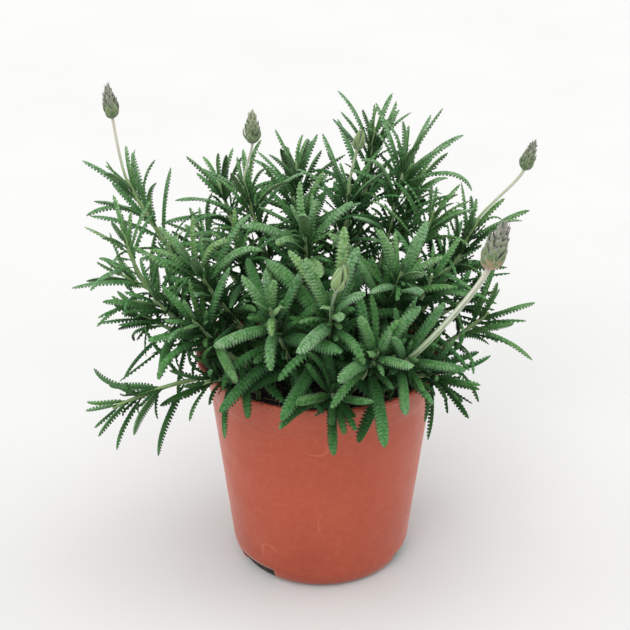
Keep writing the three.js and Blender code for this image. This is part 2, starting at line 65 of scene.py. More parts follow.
# The pot: radius and height along its outer and then its inner profile, from the middle of its
# floor up to its rim. The wall stops just short of the foot of the band.
POT_HEIGHT = 129
RIM_RADIUS = 70
POT_SEGMENTS = 180
UNDERSIDE = ((0, 0.7), (30, 0.7), (34, 0.5), (35.5, 0.0))
GROUND_RADIUS = 40.5
HEEL = ((44, 0), (51, 0.5), (52, 15))
BAND_FOOT = (63, 110)
WALL_SHARE = 1 - 1.2 / (BAND_FOOT[1] - HEEL[2][1])
BAND_STEP = ((63.05, 109.4), (63.5, 110.1), (63.75, 111))
BAND_TOP = (67.6, 124.4)
LIP = ((67.9, 125.2), (68.7, 125.5), (69.6, 125.9), (69.95, 126.6), (70, 127.6),
       (69.85, 128.4), (69.4, 128.85), (68.8, 129))
FLOOR = 1.8
FLOOR_RADII = (0, 30, 34, 35.5, 37, 40, 42.6)
INNER_HEEL = ((42.6, FLOOR), (49.3, 2.3), (50.5, 15))
INNER_SLOT_SHARE = 0.7
INNER_WALL_TOP = (61.5, 110)
INNER_BAND = ((61.7, 111), (66.1, 125.4))
INNER_LIP = ((66.9, 127.2), (67.35, 128.4), (67.9, 128.9))

# The slots: where they start and end, in millimetres and in rows of either profile
SLOT_INNER_RADIUS = 37
SLOT_TOP = 8.5
SLOT_MIDDLES = (222, 342, 102)
SLOT_HALF = 16
SLOT_HEEL_ROWS = 5
SLOT_FIRST = len(UNDERSIDE)
SLOT_LAST = SLOT_FIRST + 2 + SLOT_HEEL_ROWS

# The mix, with its profile from the middle of its underside up its side: radius and height
# between the slots, and in them, where it bulges down to the ground
SOIL_AT_WALL = 117
SOIL_MOUND = 3
SOIL_ROUGHNESS = 0.9
SOIL_GRAIN = 1.1
SOIL_GRAIN_PITCH = 0.22
SOIL_RADIUS = 63.1
SOIL_RINGS = 36
SOIL_PROFILE = (
    (0.5, 2.3, 0.5, 2.3),
    (37.6, 2.3, 37.6, 2.3),
    (38, 2.3, 38, 0.25),
    (40, 2.3, 44.3, 0.25),
    (42, 2.6, 46.8, 1.2),
    (44.6, 4.2, 48.3, 3.6),
    (47, 6.6, 48.9, 6.6),
    (48.8, 10.6, 49, 10.6),
    (49.9, 15, 49.9, 15),
    (60.9, 109, 60.9, 109),
    (62.9, 115.5, 62.9, 115.5),
)
CRUMBS = 420
CRUMB_RINGS = ((-0.7, 0.5), (-0.2, 1.0), (0.35, 0.85), (0.7, 0.3))
ROOTS = 46
ROOT_STEP = 1.5
ROOT_LIFT = 0.35

# Stems, which end in a rounded bud, given by reach and radius, where they bear no flower
STEM_COLLAR = 2
STEM_DEPTH = 12
BARE_STEPS = 3
NODE_HALF = 1.1
STEM_RADIUS = 1.6
STEM_TIP_RADIUS = 0.9
STEM_SIDES = 12
STEM_ROW = 2.2
STEM_FULLNESS = 1.03
NODE_SWELL = 0.22
NODE_SWELL_REACH = 1.4
STEM_BUD = ((0.9, 0.6), (1.6, 0.15))
LINE_STEPS = 200
# The square stem's section: its mean radius and how far its four ridges stand out from that,
# as shares of its radius
RIDGE_MEAN = 0.88
RIDGE_DEPTH = 0.12

# Stalks of flowers: each thins or, at the front, thickens, and turns whitish and then pinkish
STALK_RADIUS = 1.1
STALK_TOP = (0.9, 0.08)
STALK_STEPS = 3
STALK_EASE = 0.18
STALK_THINNING = (0.7, 0.7)
FRONT_STALK_THINNING = (1.5, 1.12)
BLUSH_DELAY = 0.5
FRONT_BLUSH_DELAY = 3

# Pairs of leaves, from the tip down: distance below the tip, length, angle to the stem,
# outward curve and droop
PAIR_KINDS = (
    (1.5, 17, 13, 8, 0.0),
    (5.5, 27, 26, 16, 0.04),
    (12, 36, 42, 20, 0.1),
    (21, 42, 57, 18, 0.2),
    (33, 44, 70, 16, 0.32),
    (47, 43, 80, 12, 0.4),
)
LOWEST_NODE = 0.12
LENGTH_SPREAD = 0.26
ANGLE_SPREAD = 16
TURN_SPREAD = 20
TWIST_SPREAD = 50
LEAF_FOOT_SHARE = 0.7

# Width of a leaf: what any leaf has and what it gains with its length. A small leaf is placed
# as narrow as a bud, and in a pair it is then made wider.
LEAF_WIDTH = (2.4, 0.1)
BUD_LEAF_WIDTH = (1.5, 0.12)
OPEN_LEAF_WIDTH = (2.2, 0.09)

# Room kept round a leaf, a flower head and the pot
MOST_BALLS = 40000
PROBES = 10
PROBE_START = 1
OWN_PROBE_START = 2
SMALL_PROBE_START = 3
PROBE_ROOM = 0.5
PROBE_LIFT = 0.4
OWN_ROOM_SHARE = 0.5
STEM_PROBE_STEP = 3
HEAD_BALLS = np.array([0.1, 0.35, 0.6, 0.85])
HEAD_BALL_SIZES = (1.25, 0.75)
SOIL_ROOM = 1.5
RIM_ROOM = 0.5
RIM_INSET = 7
FRONT_RIM_AT = -40
FRONT_RIM_HALF = 75
FRONT_RIM_ROOM = 6
BOX_ROOM = 1
BENDS = (
    (0, 0, 1), (18, 0, 1), (-18, 0, 1), (0, 14, 1), (0, -14, 1),
    (32, 6, 1), (-32, 6, 1), (24, -16, 0.9), (-24, -16, 0.9), (0, 24, 0.85),
    (36, 12, 0.8), (-36, 12, 0.8), (0, -26, 0.75), (30, 24, 0.65), (-30, 24, 0.65),
)

# Pairs of small leaves that only the fine shoots bear: the first stand between the others at
# half a quarter turn from them, and the rest a quarter turn from them
MORE_PAIRS = (
    (16.5, 35, 50, 20, 0.15),
    (27, 38, 64, 16, 0.26),
    (40, 38, 75, 12, 0.36),
    (55, 37, 82, 10, 0.4),
    (70, 34, 85, 10, 0.44),
    (86, 30, 86, 10, 0.46),
    (9, 28, 36, 16, 0.06),
    (48, 36, 76, 12, 0.36),
    (62, 35, 80, 10, 0.4),
    (78, 32, 82, 10, 0.44),
    (96, 28, 80, 10, 0.4),
)
PAIRS_BETWEEN = 7
OLDEST_FROM = 50
LOWER_NODE_LEAST = 0.04
# Small leaves that sprout from the foot of each larger one: turn, angle to the stem, length
SPROUTS = ((-40, 30, 15), (40, 34, 15), (-14, 54, 18), (16, 20, 17))
SPROUT_PAIRS = range(2, 6)
SPROUT_ARCH = 14
SPROUT_DROOP = 0.02
SPROUT_LIFT = 1.2
THIN_ROOM = 0.5
WILDNESS = 2.0
ARCH_SPREAD = 70
SWAY_SPREAD = 1.0
HOOK_MOST = 260
SPARSE = ("left_trail",)
LIGHT = ("left_tuft", "left_mid", "left_low", "right_low", "right_tuft", "right_mid",
         "left_flower")

# Shade from foliage: nearer than this it hides no more sky than it does from here, how much
# it counts, how far below a point it still counts, and the share of the sky hidden from a
# small leaf at which it is made with fewer faces
SHADE_NEAR = 6
SHADE_GAIN = 0.5
SKY_EDGE = 0.2
DEEP = 0.7

# Each shoot: its name, root, elbow height, tip, pairs of leaves and size, the angle of its
# leaves as a share of the usual angle, and their width as a share of the solid leaf's width
SHOOTS = (
    ("left_flower", (-30, 4), 158, (-104, 5, 228), 5, 0.95, 0.5, 0.64),
    ("left_tuft", (-28, -12), 152, (-104, -26, 211), 6, 0.85, 0.8, 0.62),
    ("left_fan", (-17, -18), 158, (-68, -45, 204), 6, 1.1, 0.8, 0.85),
    ("back_flower", (-12, 12), 170, (-42, 15, 222), 6, 1.05, 0.7, 0.6),
    ("back_tuft", (-3, 22), 172, (-14, 36, 226), 5, 0.9, 0.7, 0.6),
    ("back_bud", (8, 8), 170, (15, 10, 224), 6, 1.1, 0.8, 0.6),
    ("crown_left", (12, 24), 180, (29, 34, 247), 6, 0.98, 0.55, 0.6),
    ("crown_right", (20, 8), 180, (46, 12, 240), 6, 1.15, 0.6, 0.6),
    ("right_tuft", (27, -4), 163, (60, -4, 214), 6, 1, 0.8, 0.62),
    ("right_flower", (34, 8), 148, (85, 6, 205), 5, 1, 0.55, 0.64),
    ("right_low", (42, -8), 136, (90, -18, 160), 5, 1.1, 1, 0.66),
    ("right_rim", (38, -20), 142, (67, -46, 129), 4, 0.9, 1, 0.72),
    ("front_flower", (26, -30), 146, (44, -74, 162), 5, 1.1, 1, 1.0),
    ("front_bud", (4, -28), 150, (5, -78, 194), 6, 1.2, 1, 1.12),
    ("front_rosette", (-9, -34), 150, (-26, -72, 190), 5, 1.05, 1, 1.08),
    ("left_rosette", (-26, -28), 146, (-66, -58, 176), 5, 1, 1, 0.95),
    ("right_inner", (30, -16), 152, (58, -34, 190), 5, 1, 1, 0.72),
    ("front_low", (4, -46), 142, (6, -85, 146), 3, 1.05, 1, 0.95),
    ("left_trail", (-38, -30), 142, (-109, -62, 127), 5, 1, 0.75, 0.66),
    ("left_mid", (-42, -6), 142, (-100, -12, 156), 5, 1, 1, 0.66),
    ("left_low", (-42, 12), 148, (-112, 22, 164), 5, 0.95, 1, 0.66),
    ("right_mid", (44, 12), 142, (83, 18, 152), 4, 0.95, 1, 0.72),
    ("centre_right", (16, -20), 158, (42, -50, 202), 6, 1.05, 1, 0.95),
    ("front_right", (14, -40), 146, (28, -88, 174), 4, 1.1, 1, 1.08),
    ("centre", (-4, -12), 170, (-9, -30, 216), 6, 1.05, 1, 0.95),
    ("centre_back", (-6, 4), 170, (-10, 2, 210), 4, 1, 1, 0.72),
    ("left_inner", (-20, -4), 158, (-46, -16, 198), 4, 1, 1, 0.72),
    ("left_side", (-36, -16), 148, (-88, -38, 178), 4, 0.95, 1, 0.72),
    ("left_rim", (-34, -38), 142, (-62, -60, 140), 4, 0.9, 1, 0.72),
    ("right_front", (38, -34), 143, (60, -62, 144), 4, 0.9, 1, 0.72),
    ("rear_left", (-24, 22), 160, (-58, 52, 209), 5, 1.05, 1, 0.72),
    ("rear_middle", (-6, 36), 158, (-18, 84, 198), 5, 1.1, 1, 0.72),
    ("rear_right", (26, 28), 160, (54, 58, 207), 5, 1.05, 1, 0.72),
    ("rear_low_left", (-30, 36), 148, (-72, 80, 164), 5, 1, 1, 0.72),
    ("rear_low_middle", (12, 46), 148, (18, 98, 156), 5, 1.05, 1, 0.72),
    ("rear_low_right", (40, 26), 146, (80, 56, 158), 5, 1, 1, 0.72),
)

# How far out a shoot bends, as a share of its reach
USUAL_BEND_SHARE = 0.55
BEND_SHARES = {"left_trail": 0.3, "left_tuft": 0.85}

# Flowers by shoot: the end of the stalk, the tip of the head, its greatest radius, how grey
# its stalk is and how far its bracts have turned from green to grey purple
FLOWERS = {
    "left_flower": ((-110, 5, 264), (-112, 5, 284), 4.4, 1.0, 0.75),
    "back_flower": ((-37, 15, 246), (-37, 15, 266), 4.6, 0.9, 0.4),
    "back_bud": ((19, 10, 244), (21, 10, 256), 3.4, 0.45, 0.1),
    "right_flower": ((108, 2, 236), (113, 1, 254), 4.2, 0.8, 0.6),
    "front_flower": ((81, -90, 221.5), (88.5, -93, 250), 6.4, 1.0, 0.8),
    "front_bud": ((7, -82, 205), (11, -85, 222), 3.8, 0.8, 0.0),
}
BUDS = ("back_bud", "front_bud")

# A leaf's section: points over its upper side from one margin to the other, then under it
TOP = (1, 0.84, 0.46, 0, -0.46, -0.84, -1)
UNDER = (-0.52, 0, 0.52)
SMALL_TOP = (1, 0.62, 0, -0.62, -1)
DEEP_TOP = (1, 0.5, 0, -0.5, -1)
DEEP_UNDER = (0,)
# Its teeth: rows of each, by share of the pitch and how far out they reach, and the pitch
TEETH = (((0.0, 0.0), (0.28, 1.0), (0.76, 1.0)), 2.0)
DEEP_TEETH = (((0.0, 0.0), (0.5, 1.0)), 2.6)
FOOT_ROWS = ((0.0, 0.5), (0.05, 0.5))
TIP_ROWS = ((0.95, 0.1), (0.965, 0.75), (0.985, 0.9), (1.0, 0.9))
TOOTH_START = 0.1
TOOTH_END = 0.95
TOOTH_SLANT = 0.4
# How deep the teeth are cut and where the tip starts to taper, in usual and in broad leaves
BROAD_FROM = 0.9
TOOTH_DEPTHS = (0.6, 0.42)
TAPER_STARTS = (0.5, 0.68)
# Its relief, mostly as shares of its half width
BLADE_THICKNESS = 0.05
PUCKER_HEIGHT = 0.2
GROOVE_DEPTH = 0.16
GROOVE_HALF = 0.3
KEEL_HALF = 0.4
CURL_POWER = 2.6
LEAF_LAG = 0.05

# The bracts of a head, tier by tier: how far up they start, how many, their angle to the
# axis and how it changes, their length and half width against the height and radius of
# the head, how pointed they are, and how far they have turned
TIERS = (
    (0.0, 5, 66, -104, 0.4, 0.66, 1.8, 0.0),
    (0.05, 5, 54, -80, 0.44, 0.6, 1.7, 0.12),
    (0.2, 7, 32, -42, 0.32, 0.46, 1.8, 0.35),
    (0.32, 7, 29, -38, 0.29, 0.42, 1.7, 0.5),
    (0.44, 7, 22, -30, 0.27, 0.34, 1.5, 0.65),
    (0.57, 6, 16, -22, 0.26, 0.28, 1.3, 0.8),
    (0.69, 5, 12, -14, 0.24, 0.22, 1.1, 0.95),
    (0.77, 3, 7, -8, 0.23, 0.18, 1.0, 1.0),
)
BUD_TIERS = (
    (0.0, 5, 56, -88, 0.68, 0.8, 2.2, 0.0),
    (0.02, 5, 38, -82, 1.04, 0.86, 2.6, 0.1),
)
CORE = np.array(((0, 0.2), (0.05, 0.42), (0.14, 0.68), (0.28, 0.78), (0.42, 0.68),
                 (0.56, 0.5), (0.7, 0.36), (0.82, 0.24), (0.9, 0.15), (0.96, 0.04)))
CORE_SIDES = 16
HEAD_NARROWING = 0.82
BUD_NARROWING = 0.58
HEAD_HEIGHT_SHARE = 0.98
BRACT_SHARES = np.array([0, 0.14, 0.3, 0.46, 0.62, 0.76, 0.88, 0.96, 1.0])
BRACT_OUTER = (1, 0.7, 0.35, 0, -0.35, -0.7, -1)
BRACT_INNER = (-0.5, 0, 0.5)
BRACT_WIDEST = 0.4
BRACT_CUP = 0.5
# Calyces: the heights at which they stand, how many at each, and their profile
CALYX_STARTS = (0.3, 0.4, 0.5, 0.6, 0.7)
CALYCES = 8
CALYX_SIDES = 7
CALYX_PROFILE = ((0, 0.5), (0.35, 1.0), (0.7, 0.95), (0.9, 0.7), (1.0, 0.15))

# Seeds of the draws for heads, for the looks of leaves, and for crumbs and roots
HEAD_SEED = 500
LOOK_SEED = 300
CRUMB_SEED = 900
ROOT_SEED = 901

# The studio in metres: each light's name, place, spread in degrees and strength
LIGHTS = (
    ("overhead", (0, -0.3, 1.6), 50, 1.35),
    ("key", (-0.5, -1.1, 1.1), 30, 1.1),
    ("left", (-1.1, 0.2, 0.45), 45, 0.8),
    ("right", (1.1, 0.2, 0.45), 45, 1.1),
)
LIT_POINT = (0, 0, 0.14)
SKY_STRENGTH = 1.22
CAMERA_PLACE = (-0.0034, -0.8019, 0.5586)
CAMERA_TARGET = (-0.0034, 0, 0.150)
CAMERA_LENS = 92.571
SENSOR_WIDTH = 36
GROUND_HALF = 20.0


def lerp(a, b, t):
    return a + (b - a) * t


def unit(v):
    return v / np.linalg.norm(v, axis=-1, keepdims=True)


def draws_from(seed):
    """A seeded run of draws between 0 and 1."""
    state = (seed * 7919 + 104729) % 2147483647

    def draw():
        nonlocal state
        state = (state * 16807) % 2147483647
        return state / 2147483647

    return draw


def rotated(v, axis, angle):
    """v turned about unit axes by angles in radians; each may be one or many."""
    angle = np.asarray(angle)[..., None]
    axis = np.asarray(axis)
    v = np.broadcast_to(v, np.broadcast_shapes(np.shape(v), axis.shape))
    along = np.sum(axis * v, axis=-1, keepdims=True)
    return v * np.cos(angle) + np.cross(axis, v) * np.sin(angle) + axis * along * (1 - np.cos(angle))


def turns(count):
    """The angles of so many even steps round a circle."""
    return np.arange(count) * 2 * np.pi / count


def ring_round(centre, along, side, radii, count):
    """Points round a centre, turning about along from side; radii may differ by point."""
    angles = turns(count)
    up = np.cross(along, side)
    ways = side * np.cos(angles)[:, None] + up * np.sin(angles)[:, None]
    return centre + ways * np.broadcast_to(radii, count)[:, None]


def level_ring(radii, heights):
    """A ring round the pot's axis; radii and heights may differ by point."""
    centres = UP * np.broadcast_to(heights, POT_SEGMENTS)[:, None]
    return ring_round(centres, UP, RIGHT, radii, POT_SEGMENTS)


class Stem:
    """The line of one shoot: its stem, its nodes and the stalk of its flower."""

    def __init__(self, index):
        self.name, root, elbow, tip, pairs, self.size, self.spread, self.leaf_width = SHOOTS[index]
        rx, ry = root
        self.index = index
        self.leaves = []
        self.draw = draws_from(index + 1)
        self.start = np.array([rx, ry, SOIL_AT_WALL + SOIL_MOUND + STEM_COLLAR], float)
        self.foot = np.array([rx, ry, SOIL_AT_WALL - STEM_DEPTH], float)
        self.tip = np.array(tip, float)
        bend = BEND_SHARES.get(self.name, USUAL_BEND_SHARE)
        self.elbow = np.array([lerp(rx, tip[0], bend), lerp(ry, tip[1], bend), elbow], float)
        line = self.point(np.arange(LINE_STEPS + 1) / LINE_STEPS)
        self.length = float(np.linalg.norm(np.diff(line, axis=0), axis=1).sum())
        self.flower = FLOWERS.get(self.name)
        self.tip_radius = STALK_RADIUS if self.flower else STEM_TIP_RADIUS
        self.nodes = [1 - kind[0] / self.length for kind in PAIR_KINDS[:pairs]]
        self.nodes = [t for t in self.nodes if t > LOWEST_NODE]
        self.across = unit(np.array([ry - self.tip[1], self.tip[0] - rx, 0.0]))
        self.turn = self.draw() * 90

    def point(self, t):
        t = np.asarray(t, float)[..., None]
        return (1 - t) ** 2 * self.start + 2 * (1 - t) * t * self.elbow + t * t * self.tip

    def tangent(self, t):
        return unit(self.point(min(t + 1e-4, 1.0)) - self.point(max(t - 1e-4, 0.0)))

    def radius(self, t):
        return lerp(STEM_RADIUS, self.tip_radius, t)

    def stalk(self, t):
        """A point of the flower's stalk, which leaves the tip along the stem."""
        top = np.array(self.flower[0], float)
        axis = unit(np.array(self.flower[1], float) - top)
        reach = np.linalg.norm(top - self.tip) * STALK_EASE
        a, b = self.tip + self.tangent(1.0) * reach, top - axis * reach
        t = np.asarray(t, float)[..., None]
        u = 1 - t
        return u ** 3 * self.tip + 3 * u * u * t * a + 3 * u * t * t * b + t ** 3 * top

    def stalk_radius(self, t):
        return lerp(STALK_RADIUS, STALK_TOP[0] + STALK_TOP[1] * self.flower[2], t)


class Taken:
    """Balls that stand for the room that stems, heads and leaves take, each with its place,
    its radius, its step along the leaf and its shoot."""

    def __init__(self):
        self.store = np.zeros((MOST_BALLS, 6))
        self.count = 0

    def add(self, places, radii, steps, shoot):
        new = self.store[self.count:self.count + len(places)]
        new[:, :3] = places
        for column, values in ((3, radii), (4, steps), (5, shoot)):
            new[:, column] = values
        self.count += len(places)

    def balls(self):
        return self.store[:self.count, :3], *self.store[:self.count, 3:].T

    def clear(self, places, radii, steps, shoot, own_start):
        other_places, other_radii, other_steps, shoots = self.balls()
        gap = np.linalg.norm(places[:, None, :] - other_places, axis=2)
        own = shoots == shoot
        room = (radii[:, None] + other_radii) * np.where(own, OWN_ROOM_SHARE, 1)
        near_root = (steps[:, None] < own_start) | (other_steps < own_start)
        return bool(np.all((gap >= room) | (own & near_root)))


def take_stem(taken, stem):
    """Marks the room of a stem, its stalk and its flower head."""
    lowest = stem.nodes[-1] - NODE_HALF / stem.length
    shares = [lowest * i / BARE_STEPS for i in range(BARE_STEPS)]
    for t in reversed(stem.nodes):
        shares += [t - NODE_HALF / stem.length, t + NODE_HALF / stem.length]
    rings = [(stem.foot, STEM_RADIUS)]
    rings += [(stem.point(t), stem.radius(t)) for t in shares]
    if stem.flower:
        ways = [i / STALK_STEPS for i in range(1, STALK_STEPS + 1)]
        rings += [(stem.stalk(t), stem.stalk_radius(t)) for t in ways]
    for i in range(1, len(rings)):
        (a, ra), (b, rb) = rings[i - 1], rings[i]
        count = math.ceil(np.linalg.norm(b - a) / STEM_PROBE_STEP)
        t = np.arange(count) / count
        step = 0 if i < 1 + BARE_STEPS + 2 * len(stem.nodes) else PROBES
        taken.add(a + (b - a) * t[:, None], lerp(ra, rb, t) + PROBE_ROOM, step, stem.index)
    if stem.flower:
        foot, top, radius = (np.array(v, float) for v in stem.flower[:3])
        radii = radius * lerp(*HEAD_BALL_SIZES, HEAD_BALLS) + PROBE_ROOM
        taken.add(foot + (top - foot) * HEAD_BALLS[:, None], radii, PROBES, stem.index)


def clear_of_pot(places, radii):
    out = np.hypot(places[:, 0], places[:, 1])
    foot = places[:, 2] - radii
    inner = foot > SOIL_AT_WALL + SOIL_MOUND + SOIL_ROOM
    outer = (foot > POT_HEIGHT + RIM_ROOM) | (out - radii > RIM_RADIUS + RIM_ROOM)
    return bool(np.all(np.where(out < RIM_RADIUS - RIM_INSET, inner, outer)))


def strays(places):
    """True where a leaf would hang over the front of the rim or reach out of the solids' box."""
    front = (places[:, 1] < FRONT_RIM_AT) & (np.abs(places[:, 0]) < FRONT_RIM_HALF)
    hangs = front & (places[:, 2] < POT_HEIGHT + FRONT_RIM_ROOM)
    out = np.any((places < BOX[0] + BOX_ROOM) | (places > BOX[1] - BOX_ROOM), axis=1)
    return bool(np.any(hangs | out))


def outline(s):
    """Half the width of a leaf at shares of its length, against its widest."""
    s = np.asarray(s, float)
    foot = np.where(s < 0.3, lerp(0.22, 1, np.sin(np.minimum(s / 0.3, 1) * np.pi / 2)), 1)
    return foot * np.sqrt(np.maximum(0, 1 - np.maximum(0, (s - 0.62) / 0.38) ** 2))


def spine(leaf, shares, lag=0.0):
    """The line of a leaf's midrib: places, and the heading, sideways and upward directions."""
    side = unit(np.cross(leaf["along"], leaf["out"]))
    angle = leaf["angle"] + leaf["arch"] * np.maximum(shares - lag, 0)
    angle = angle + leaf["hook"] * np.maximum(shares - 0.5, 0) ** 1.5
    heading = leaf["along"] * np.cos(angle)[:, None] + leaf["out"] * np.sin(angle)[:, None]
    heading[:, 2] -= leaf["droop"] * shares
    heading += side * (leaf["sway"] * shares)[:, None]
    heading = unit(heading)
    across = rotated(side, heading, leaf["twist"] * shares)
    across = unit(across - heading * np.sum(across * heading, axis=1, keepdims=True))
    steps = np.diff(shares)[:, None] * leaf["length"]
    places = np.vstack([np.zeros(3), np.cumsum(heading[:-1] * steps, axis=0)]) + leaf["foot"]
    return places, heading, across, np.cross(heading, across)


def probes_of(leaf, share=1.0):
    places, _, _, up = spine(leaf, np.arange(PROBES + 1) / PROBES)
    widths = leaf["half"] * share * outline(np.arange(PROBES + 1) / PROBES)
    return places + up * PROBE_LIFT, widths + PROBE_ROOM * share


def half_width(length, width):
    return (width[0] + length * width[1]) / 2


def leaf_at(stem, t, way, kind, draw, bend):
    """One leaf at share t of a stem, standing off it at way degrees about it."""
    _, length, angle, arch, droop = kind
    turn, lean, share = bend
    along = stem.tangent(t)
    out = rotated(stem.across, along, math.radians(way + draw["turn"] + turn))
    length = length * stem.size * draw["length"] * share
    return {
        "foot": stem.point(t) + out * lerp(STEM_RADIUS, STEM_TIP_RADIUS, t) * LEAF_FOOT_SHARE,
        "along": along,
        "out": out,
        "angle": math.radians(angle * stem.spread + draw["angle"] + lean),
        "arch": math.radians(arch + draw.get("arch", 0)),
        "hook": math.radians(draw.get("hook", 0)),
        "droop": droop * stem.spread,
        "twist": math.radians(draw["twist"]),
        "sway": draw.get("sway", 0.0),
        "length": length,
        "half": half_width(length, LEAF_WIDTH),
    }


def draw_of(next_draw):
    return {
        "turn": (next_draw() - 0.5) * TURN_SPREAD,
        "angle": (next_draw() - 0.5) * ANGLE_SPREAD,
        "twist": (next_draw() - 0.5) * TWIST_SPREAD,
        "length": 1 + (next_draw() - 0.5) * LENGTH_SPREAD,
    }


def wild_draw_of(next_draw):
    """As draw_of, for a leaf that only the fine shoots bear: more varied and more bent."""
    draw = draw_of(next_draw)
    for name in ("turn", "angle", "twist"):
        draw[name] *= WILDNESS
    draw["length"] = 1 + (draw["length"] - 1) * WILDNESS
    draw["arch"] = (next_draw() - 0.5) * ARCH_SPREAD
    draw["sway"] = (next_draw() - 0.5) * SWAY_SPREAD
    draw["hook"] = next_draw() ** 3 * HOOK_MOST
    return draw


def place_leaf(taken, stem, t, way, kind, draw, small, lift):
    """The first bend of a leaf that is clear of all else, or nothing."""
    steps = np.arange(PROBES + 1)
    first = SMALL_PROBE_START if small else PROBE_START
    own_start = SMALL_PROBE_START if small else OWN_PROBE_START
    for bend in BENDS:
        leaf = leaf_at(stem, t, way, kind, draw, bend)
        if small:
            leaf["half"] = half_width(leaf["length"], BUD_LEAF_WIDTH)
            leaf["foot"] = leaf["foot"] + leaf["along"] * lift
        places, radii = probes_of(leaf, THIN_ROOM if small else 1.0)
        if not clear_of_pot(places[first:], radii[first:]):
            continue
        if small and strays(places):
            continue
        if not taken.clear(places[first:], radii[first:], steps[first:], stem.index, own_start):
            continue
        taken.add(places, radii, steps, stem.index)
        leaf["small"] = small
        return leaf
    return None


def place_pair(taken, stem, t, way, kind, age, small=False, lift=0.0):
    """Two leaves on opposite sides of a stem, each only where there is room for it."""
    pair = []
    for half_turn in (0, 180):
        draw = wild_draw_of(stem.draw) if small else draw_of(stem.draw)
        leaf = place_leaf(taken, stem, t, way + half_turn, kind, draw, small, lift)
        if leaf:
            leaf["age"] = age
            pair.append(leaf)
    stem.leaves += pair
    return pair


def grow(stems):
    """Every leaf of every shoot: first those of the solids, in their order, then the rest.
    Gives the places and squared radii of the balls that the foliage takes, which shade it."""
    taken = Taken()
    for stem in stems:
        take_stem(taken, stem)
    for pair, kind in enumerate(PAIR_KINDS):
        age = (pair + 0.5) / len(PAIR_KINDS)
        for stem in stems:
            if pair < len(stem.nodes):
                place_pair(taken, stem, stem.nodes[pair], stem.turn + pair * 90, kind, age)
    add_more_pairs(taken, stems)
    add_sprouts(taken, stems)
    places, radii, *_ = taken.balls()
    return places, radii ** 2


def add_more_pairs(taken, stems):
    for number, kind in enumerate(MORE_PAIRS):
        step = 45 if number < PAIRS_BETWEEN else 90
        age = min(1.0, kind[0] / OLDEST_FROM)
        for stem in stems:
            t = 1 - kind[0] / stem.length
            if t < LOWER_NODE_LEAST or stem.name in SPARSE:
                continue
            way = stem.turn + number * 90 + step
            for leaf in place_pair(taken, stem, t, way, kind, age, small=True):
                leaf["half"] = half_width(leaf["length"], OPEN_LEAF_WIDTH)


def add_sprouts(taken, stems):
    for turn, angle, length in SPROUTS:
        for pair in SPROUT_PAIRS:
            kind = (0, length * (0.7 + 0.1 * pair), angle, SPROUT_ARCH, SPROUT_DROOP)
            age = 0.12 + 0.08 * pair
            for stem in stems:
                if pair < len(stem.nodes) and stem.name not in LIGHT:
                    way = stem.turn + pair * 90 + turn
                    place_pair(taken, stem, stem.nodes[pair], way, kind, age, True, SPROUT_LIFT)


def shade_at(places, others):
    """The share of the sky that foliage hides from each place, from 0 to 1."""
    centres, squares = others
    away = centres[None, :, :] - places[:, None, :]
    distance = np.linalg.norm(away, axis=2)
    above = np.clip(away[:, :, 2] / (distance + 1e-6) + SKY_EDGE, 0, 1)
    hidden = above * squares[None, :] / np.maximum(distance, SHADE_NEAR) ** 2
    return 1 - np.exp(-SHADE_GAIN * hidden.sum(axis=1))


def show(name, data):
    """An object of the scene with this data."""
    thing = bpy.data.objects.new(name, data)
    bpy.context.scene.collection.objects.link(thing)
    return thing


class Mesh:
    """Closed forms gathered into one piece, with named values at their points."""

    def __init__(self, *names):
        self.points = []
        self.faces = []
        self.looks = []
        self.values = {name: [] for name in names}
        self.count = 0

    def add(self, points, faces, look=0, **values):
        self.points.append(points)
        self.faces += [[self.count + i for i in face] for face in faces]
        self.looks += [look] * len(faces)
        for name, stored in self.values.items():
            stored.append(np.broadcast_to(values.get(name, 0.0), len(points)))
        self.count += len(points)

    def tube(self, rings, look=0, **values):
        """Rings of points, ordered about the way they follow each other, closed at both ends.
        A value is one number, a row of one for each side or a column of one for each ring."""
        rings = np.asarray(rings)
        shape = rings.shape[:2]
        spread = {name: np.broadcast_to(value, shape).ravel() for name, value in values.items()}
        self.add(rings.reshape(-1, 3), ring_faces(*shape), look, **spread)

    def piece(self, name, materials, slot, *nodes):
        mesh = bpy.data.meshes.new(name)
        mesh.from_pydata((np.vstack(self.points) * MM).tolist(), [], self.faces)
        for value, stored in self.values.items():
            layer = mesh.attributes.new(value, "FLOAT", "POINT")
            layer.data.foreach_set("value", np.concatenate(stored).astype(np.float32))
        mesh.polygons.foreach_set("use_smooth", [True] * len(mesh.polygons))
        for material in materials:
            mesh.materials.append(material)
        mesh.polygons.foreach_set("material_index", self.looks)
        piece = show(name, mesh)
        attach(piece, "root")
        if nodes:
            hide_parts(*nodes)


@functools.cache
def ring_faces(count, sides):
    """The faces of a closed tube of rings."""
    i = np.arange(count - 1)[:, None] * sides
    k = np.arange(sides)[None, :]
    after = (k + 1) % sides
    quads = np.stack([i + k, i + after, i + after + sides, i + k + sides], axis=-1)
    last = (count - 1) * sides
    caps = [list(range(sides))[::-1], list(range(last, last + sides))]
    return quads.reshape(-1, 4).tolist() + caps


def section(upper, lower):
    """Places across a blade from its midrib, which are on its upper side, and how far out."""
    v = np.array([*upper, *lower], float)
    over = np.repeat([1.0, 0.0], [len(upper), len(lower)])
    return v, over, np.abs(v)


def offset(ways, amounts):
    """Steps along one way for each ring, by an amount for each point of it."""
    return ways[:, None, :] * amounts[..., None]


